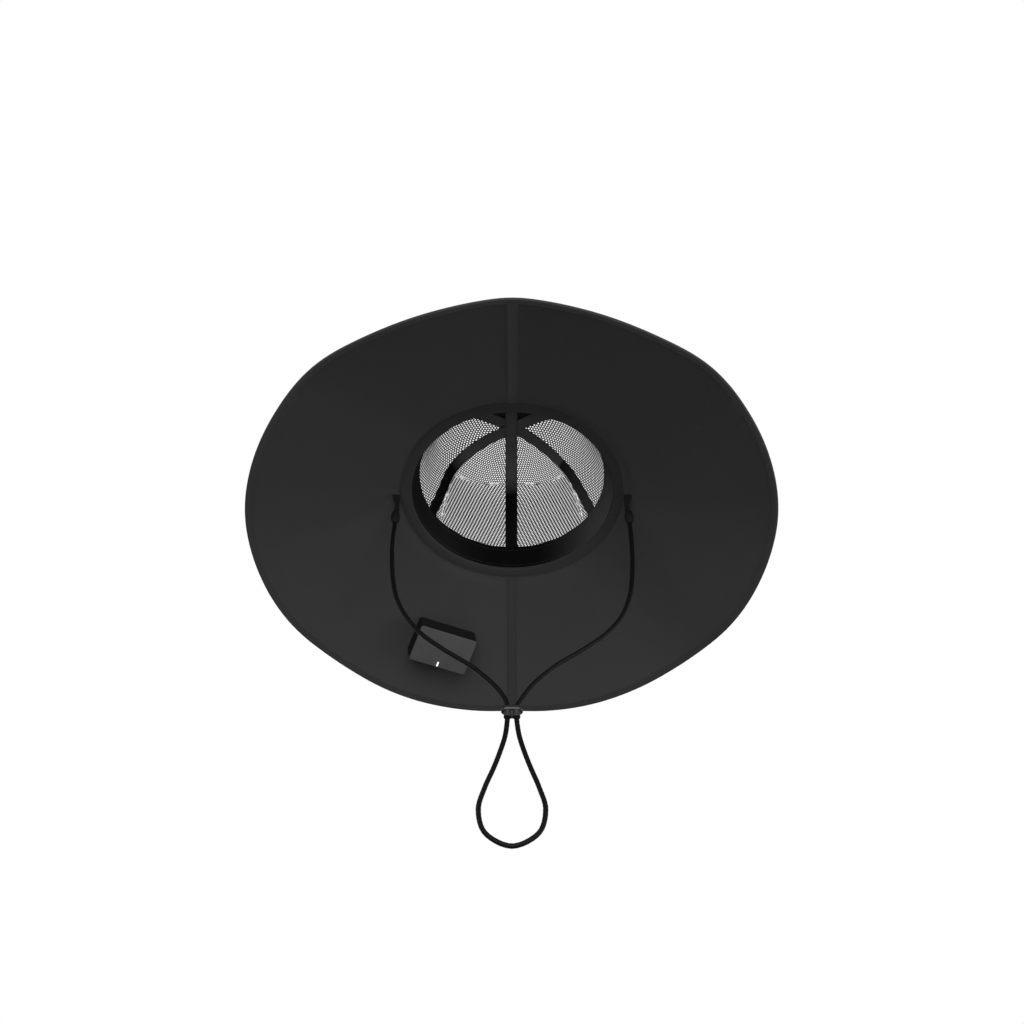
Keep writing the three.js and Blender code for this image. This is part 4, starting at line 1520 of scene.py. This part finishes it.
def flat_map(gore, along, azimuth, radius):
    """Flat coordinates of a gore's cloth: across its middle line and up it."""
    middle = (gore - 0.5) * GORE_ANGLE
    across = np.radians(azimuth - middle) * radius
    return np.stack(np.broadcast_arrays(across, along * CROWN.length), axis=-1)


def make_front_gores():
    """The two gores of solid cloth, softly creased, and most of all where the band ends."""
    band_edge = 33.0
    for gore in (1, GORES):
        along, azimuth, radius = gore_patch(gore, *shares(90, 60))
        place = flat_map(gore, along, azimuth, radius)
        x = place[..., 0]
        y = place[..., 1]
        crease = 0.35 * soft_waves(x, y * 1.6, 22.0, 20 + gore)
        crease = crease + 0.3 * np.exp(-(((y - band_edge) / 1.6) ** 2)) * soft_waves(x, y, 30.0, 40 + gore)
        inset = 0.5 * crease * smoothstep(along, 0.02, 0.15) * (1.0 - smoothstep(along, 0.8, 0.95))
        near = CROWN.point(along, azimuth, inset)
        far = CROWN.point(along, azimuth, inset - NET_THICKNESS)
        name = "front_gore_%d" % gore
        mesh = walled_sheet(name, near, far, place)
        settle(add_piece(name, mesh, CROWN_CLOTH), "crown_cloth", "crown_panel_%d" % gore)


# The back gores' net is pieced: its direction changes at a slanting shoulder line and beside the side tapes.
# Lengths are shares of the gore's length, and spans are shares of its width from the back tape
SHOULDER_AT_BACK = 0.607
SHOULDER_SLANT = 0.097
SHOULDER_BULGE = 0.06
PIECE_OVERLAP = 0.0075
SIDE_PIECE_TOP = 0.5
SIDE_PIECE_SPREAD = 0.35
SIDE_PIECE_LEAST = 0.055
SHOULDER_SEAM_WIDTH = 0.003
SIDE_SEAM_WIDTH = 0.008
MAP_SCALE = 6.0  # a gore's flat map, in metres, is enlarged to fill a square of 1
NET_SPREAD = 190.0  # side of the lattice, which is longer than a gore
NET_OUT = 0.4  # how far the net lies outside the crown's inner face
STRAND = 0.2


def shoulder(span):
    """Where the upper net begins."""
    return SHOULDER_AT_BACK - SHOULDER_SLANT * span + SHOULDER_BULGE * span * (1.0 - span)


def side_piece_edge(along):
    """The span where the side piece begins."""
    return 1.0 - SIDE_PIECE_LEAST - SIDE_PIECE_SPREAD * np.maximum(SIDE_PIECE_TOP - along, 0.0)


def upper_piece(row, column):
    """From the shoulder line to the apex."""
    low = shoulder(column) - PIECE_OVERLAP
    return low + (1.0 - low) * row, column


def lower_piece(row, column):
    """Below the shoulder line, beside the back tape."""
    along = row * (shoulder(column) + PIECE_OVERLAP)
    return along, column * (side_piece_edge(along) + 2.0 * PIECE_OVERLAP)


def side_piece(row, column):
    """Below the shoulder line, beside the side tape."""
    along = row * shoulder(1.0)
    edge = side_piece_edge(along)
    return along, edge + (1.0 - edge) * column


def whole_piece(row, column):
    """A gore in one piece."""
    return row, column


def shoulder_seam(row, column):
    """The line between the upper and the lower pieces."""
    return shoulder(column) + SHOULDER_SEAM_WIDTH * (row - 0.5), column


def side_seam(row, column):
    """The line between the lower and the side piece."""
    along = row * shoulder(1.0)
    return along, side_piece_edge(along) + SIDE_SEAM_WIDTH * (column - 0.5)


NET_PIECES = {  # outline, the rows' turn in degrees, hole pitch, row pitch and open share of each piece
    "back": (
        (upper_piece, 10.0, 2.25, 1.95, 0.6),
        (lower_piece, 77.0, 1.6, 2.85, 0.57),
        (side_piece, 0.0, 2.3, 2.3, 0.58),
    ),
    "side": ((whole_piece, 90.0, 2.75, 2.4, 0.58),),
}


def make_net_gore(gore):
    """A gore of open net with its hems. The rows lean the other way on the other half of the hat."""
    lean = 1.0 if gore <= GORES // 2 else -1.0
    kind = "back" if abs(gore - 0.5 - GORES / 2.0) < 1.0 else "side"
    rows = 70
    columns = 40
    _, quads = grid_quads(rows, columns)
    parts = []
    for outline, turn, hole_pitch, row_pitch, open_share in NET_PIECES[kind]:
        along, azimuth, radius = gore_patch(gore, *shares(rows, columns), outline)
        place = flat_map(gore, along, azimuth, radius)
        ripple = 0.06 * soft_waves(place[..., 0], place[..., 1], 26.0, 60 + gore)
        surface = CROWN.point(along, azimuth, ripple * (1.0 - smoothstep(along, 0.85, 1.0)) - NET_OUT)
        layout = place.reshape(-1, 2)[quads.ravel()] * MAP_SCALE + np.array([0.5 / MM, 0.0])
        host = add_piece("net_host", mesh_of("net_host", surface, quads.tolist(), layout), NET_YARN)
        values = {
            "Spread": NET_SPREAD * MM,
            "Hole pitch": hole_pitch * MM,
            "Row pitch": row_pitch * MM,
            "Open share": open_share,
            "Strand": STRAND * MM,
            "Turn": math.radians(turn * lean),
            "Middle": CROWN.length * 0.5 * MM,
            "Map scale": MAP_SCALE,
        }
        part = grown(host, NET_TREE, "net_part", NET_YARN, **values)
        face_out(part.data)
        parts.append(part)
    parts += net_hems(gore, kind)
    name = "net_gore_%d" % gore
    piece = joined(name, parts, NET_YARN)
    settle(piece, "crown_net", "crown_panel_%d" % gore)


def net_hems(gore, kind):
    """The gore's turned edges and its lower edge, and a fine cord in the seams between its pieces."""
    width = 3.4
    seam_gap = 0.15
    lower_edge = 0.035
    lower_trim = 0.2
    start = (gore - 1) * GORE_ANGLE
    share, across = shares(70, 5)
    along = share * float(CROWN.along_at_radius(3.0))
    radius = CROWN.radius_at(along)
    trim = np.degrees(seam_gap / radius)
    inwards = trim + (np.minimum(np.degrees(width / radius), GORE_ANGLE / 2.0) - trim) * across
    both_edges = (start + inwards, start + GORE_ANGLE - inwards)
    strips = [hem_strip(gore, along, azimuth, radius) for azimuth in both_edges]
    share, across = shares(4, 40)
    along = share * lower_edge
    azimuth = start + lower_trim + (GORE_ANGLE - 2.0 * lower_trim) * across
    strips.append(hem_strip(gore, along, azimuth, CROWN.radius_at(along)))
    if kind == "back":
        for seam, rows, columns in ((shoulder_seam, 3, 40), (side_seam, 60, 3)):
            patch = gore_patch(gore, *shares(rows, columns), seam)
            strips.append(hem_strip(gore, *patch, out=0.3, thickness=0.3))
    return strips


def hem_strip(gore, along, azimuth, radius, out=0.0, thickness=1.0):
    """A thin strip on a gore, this far outside its inner face."""
    along, azimuth = np.broadcast_arrays(along, azimuth)
    near = CROWN.point(along, azimuth, -out)
    far = CROWN.point(along, azimuth, -out - thickness)
    mesh = walled_sheet("hem", near, far, flat_map(gore, along, azimuth, radius))
    return add_piece("hem", mesh, NET_YARN)


def tape_sections(azimuth, layer, laterals, depths):
    """Rows of points across a tape that runs from brim to brim over the apex. At the crossing, the next
    layer lies lower. depths are measured from the tape's upper face."""
    stations = np.concatenate([np.linspace(0.0, 0.9, 46), np.linspace(0.92, 1.0, 9)])
    runs = [(along, 1.0) for along in stations] + [(along, -1.0) for along in stations[-2::-1]]
    laterals = np.asarray(laterals, float)
    depths = np.asarray(depths, float)
    sections = []
    for along, side in runs:
        run = max(float(CROWN.radius_at(along)), 0.0)
        straight = 1.0 - float(smoothstep(run, TAPE_WIDTH, 3.0 * TAPE_WIDTH))
        radius = np.sqrt(run ** 2 + laterals ** 2 * straight)
        forward = np.sqrt(np.maximum(radius ** 2 - laterals ** 2, 0.0))
        turn = np.degrees(np.arctan2(laterals, side * forward))
        stack = 1.0 - smoothstep(radius, STACK_REACH, STACK_REACH + STACK_BLEND)
        outside = GAP + layer * stack * (TAPE_THICKNESS + GAP)
        at = CROWN.along_at_radius(radius) if straight > 0.0 else np.full(len(laterals), along)
        sections.append(CROWN.point(at, azimuth + turn, outside + depths))
    return np.array(sections)


def make_tapes():
    """Three tapes that cross at the apex, each with a stitched groove along both edges. They are a little
    wider than the frame's, and the one from front to back lies a little to one side."""
    centre_shift = -0.6
    half = TAPE_WIDTH / 2.0 + 0.5
    groove_depth = 0.16
    groove_width = 0.5
    groove_at = 0.8 * half
    rounding = 0.3
    across = np.array([-1.0, -0.97, -0.86, -0.8, -0.6, -0.3, 0.0, 0.3, 0.6, 0.8, 0.86, 0.97, 1.0]) * half
    groove = groove_depth * np.exp(-(((np.abs(across) - groove_at) / groove_width) ** 2))
    edge = rounding * (np.abs(across) > 0.99 * half)
    both_faces = np.concatenate([across, across[::-1]])
    depths = np.concatenate([edge * 0.5, (TAPE_THICKNESS - edge - groove)[::-1]])
    stitch_depths = [TAPE_THICKNESS - 0.12] * 2
    runs = []
    for number, (azimuth, layer) in enumerate(((0.0, 2), (GORE_ANGLE, 1), (2.0 * GORE_ANGLE, 0)), start=1):
        shift = centre_shift if azimuth == 0.0 else 0.0
        sections = tape_sections(azimuth, layer, both_faces + shift, depths)
        name = "crown_seam_tape_%d" % number
        mesh = swept(name, sections, sharp=60.0)
        settle(add_piece(name, mesh, TAPE_CLOTH), "seam_tape", "crown_tape_%d" % number)
        rows = tape_sections(azimuth, layer, [shift - groove_at, shift + groove_at], stitch_depths)
        runs += [(rows[:, 0], False), (rows[:, 1], False)]
    stitches("tape_stitches", runs, pitch=2.8, stitch=2.1, thread=0.35, slot="seam_tape")


make_band()
make_front_gores()
for number in range(2, GORES):
    make_net_gore(number)
make_tapes()


# Power box

BOX_AZIMUTH = -157.5
BOX_WIDTH = 56.0
BOX_LENGTH = 36.5
BOX_HEIGHT = 20.0
BOX_CENTRE = 84.8211
BOX_SIDE_SHIFT = -1.6
BOX_EDGE = 0.5
LID_STEP = 0.5


def box_point(x, y, height):
    """A point in the box's frame: x and y from its middle, height below the brim."""
    return facet_point(BOX_AZIMUTH, x + BOX_SIDE_SHIFT, BOX_CENTRE + y, -GAP - height)


def rounded_box_outline(width, length, radius, steps=9):
    """A rectangle with round corners, centred on the axis."""
    corners = ((1, 1, 0.0), (-1, 1, 0.5), (-1, -1, 1.0), (1, -1, 1.5))  # side in x, side in y, half turns
    points = []
    for sx, sy, start in corners:
        for turn in np.linspace(start * math.pi, (start + 0.5) * math.pi, steps):
            points.append((sx * (width / 2.0 - radius) + radius * math.cos(turn),
                           sy * (length / 2.0 - radius) + radius * math.sin(turn)))
    return np.array(points)


def box_loft(name, levels):
    """A solid in the box's frame, from pairs of a height and an inset."""
    corner = 2.2
    least_corner = 0.4
    sections = []
    for height, inset in levels:
        width = BOX_WIDTH - 2.0 * inset
        length = BOX_LENGTH - 2.0 * inset
        outline = rounded_box_outline(width, length, max(corner - inset, least_corner))
        sections.append(box_point(outline[:, 0], outline[:, 1], height))
    return swept(name, sections, sharp=35.0)


def port_section(outline, depth):
    """An outline laid across the port, this deep inside the box's rim-side end."""
    return box_point(outline[:, 0], BOX_LENGTH / 2.0 - depth, BOX_HEIGHT / 2.0 + outline[:, 1])


def make_case():
    """The box's shell, with a parting line round it and the port's recess in its rim-side end."""
    parting = 9.0
    groove = 0.2
    shell_top = BOX_HEIGHT - LID_STEP
    levels = [
        (0.0, 0.0),
        (parting - 0.2, 0.0),
        (parting - 0.05, groove),
        (parting + 0.1, groove),
        (parting + 0.25, 0.0),
    ]
    body = box_loft("power_case_body", levels + rounded_top(shell_top, BOX_EDGE, 5))
    # The shell's dark plastic is painted shade on the box's sides
    case = add_piece("power_case_body", body, BOX_SHELL_PAINTED_SHADE)
    opening = rounded_box_outline(9.2, 3.6, 1.4, 5)
    cutter = swept("port_cutter", [port_section(opening, depth) for depth in (-3.0, 8.0)])
    port = add_piece("port_cutter", cutter, BOX_SHELL_PAINTED_SHADE)
    combine(case, [port], "DIFFERENCE")
    box = finished(case, "power_case", BOX_SHELL_PAINTED_SHADE, [port], 35.0)
    settle(box, "box_plastic", "power_box")


def make_lid():
    """The face plate, just inside the shell's edge, painted paler than the shell as the box's lit face."""
    inset = 0.15
    levels = [(BOX_HEIGHT - LID_STEP - 0.6, inset)] + rounded_top(BOX_HEIGHT, BOX_EDGE, 5, inset)
    lid = box_loft("power_case_lid", levels)
    settle(add_piece("power_case_lid", lid, BOX_LID_PAINTED_LIGHT), "box_plastic")


def make_port():
    """The port's metal sleeve and the tongue in it."""
    outer = rounded_box_outline(9.0, 3.4, 1.35, 5)
    inner = rounded_box_outline(8.4, 2.8, 1.1, 5)
    profile = ((outer, 0.2), (outer, 7.4), (inner, 7.4), (inner, 0.2))
    rings = [port_section(outline, depth) for outline, depth in profile]
    sleeve = swept("port_sleeve", np.stack(rings, axis=1), ring=True)
    settle(add_piece("port_sleeve", sleeve, PORT_METAL), "box_plastic")
    flat = rounded_box_outline(6.4, 0.7, 0.3, 3)
    tongue = swept("port_tongue", [port_section(flat, depth) for depth in (1.2, 7.6)])
    settle(add_piece("port_tongue", tongue, PORT_TONGUE), "box_plastic")


def make_indicator():
    """A small light bar, let into the box's face beside its rim-side end."""
    width = 1.6
    length = 4.9
    corner = 0.6
    end_margin = 0.8
    middle = BOX_LENGTH / 2.0 - end_margin - length / 2.0
    levels = ((-0.8, 0.0), (0.1, 0.0), (0.2, 0.1), (0.25, 0.35))  # height above the face, and inset
    sections = []
    for height, inset in levels:
        outline = rounded_box_outline(width - 2.0 * inset, length - 2.0 * inset, corner - inset)
        sections.append(box_point(outline[:, 0], middle + outline[:, 1], BOX_HEIGHT + height))
    mesh = swept("light_bar", sections)
    settle(add_piece("light_bar", mesh, LIGHT_LENS), "light_plastic", "power_box_indicator")


make_lid()
make_case()
make_port()
make_indicator()


# Cord tabs and ends

def make_tab(side, label):
    """A webbing tab that narrows to a waist above the cord end."""
    low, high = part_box("cord_tab_" + label)
    top = high.z / MM
    fall = (high.z - low.z) / MM
    from_collar = 0.8
    width = 7.0
    thickness = 2.4
    centre = HEAD_RADIUS + COLLAR_WIDTH + from_collar + width / 2.0
    levels = smooth_line([  # height, width, thickness and shift, in shares of the tab's own
        (0.0, 1.0, 0.6, 0.0),
        (0.3, 0.84, 0.8, -0.12),
        (0.66, 0.56, 1.0, -0.24),
        (1.0, 0.66, 1.0, -0.2),
    ], 12)
    outline = rounded_box_outline(1.0, 1.0, 0.32, 4)
    sections = []
    for level, width_share, thickness_share, shift in levels:
        x = side * (centre + (shift + outline[:, 0] * width_share) * width)
        y = outline[:, 1] * thickness * thickness_share
        sections.append(np.column_stack([x, y, np.full(len(outline), top - fall * level)]))
    name = "webbing_tab_" + label
    piece = add_piece(name, swept(name, sections), WEBBING)
    settle(piece, "tab_webbing", "cord_tab_" + label)
    level, width_share, thickness_share, shift = levels[4:26].T
    runs = []
    for row_share in (-0.3, 0.3):
        x = side * (centre + (shift + row_share * width_share) * width)
        y = -thickness / 2.0 * thickness_share - 0.05
        runs.append((np.column_stack([x, y, top - fall * level]), False))
    stitches("tab_stitches_" + label, runs, pitch=2.2, stitch=1.6, thread=0.35, slot="tab_webbing")


def make_cord_end(label):
    """A moulded bulb, flattened front to back, that narrows smoothly to the cord."""
    low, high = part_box("cord_end_" + label)
    centre = (low.x + high.x) / 2.0 / MM
    half_width = (high.x - low.x) / 2.0 / MM
    half_depth = (high.y - low.y) / 2.0 / MM
    height = (high.z - low.z) / MM
    sides = 32
    levels = smooth_line([  # height and width, in shares of the end's own
        (0.0, 0.5),
        (0.05, 0.62),
        (0.18, 0.84),
        (0.38, 0.99),
        (0.55, 1.0),
        (0.72, 0.92),
        (0.88, 0.74),
        (0.96, 0.6),
        (1.0, 0.52),
    ], 5)
    turn = np.linspace(0.0, 2.0 * math.pi, sides, endpoint=False)
    sections = []
    for level, share in levels:
        x = centre + half_width * share * np.cos(turn)
        y = half_depth * share * np.sin(turn)
        sections.append(np.column_stack([x, y, np.full(sides, high.z / MM - level * height)]))
    name = "moulded_cord_end_" + label
    piece = add_piece(name, swept(name, sections, sharp=60.0), END_RUBBER)
    settle(piece, "cord_end_rubber", "cord_end_" + label)


for tab_side, tab_label in ((-1.0, "left"), (1.0, "right")):
    make_tab(tab_side, tab_label)
    make_cord_end(tab_label)
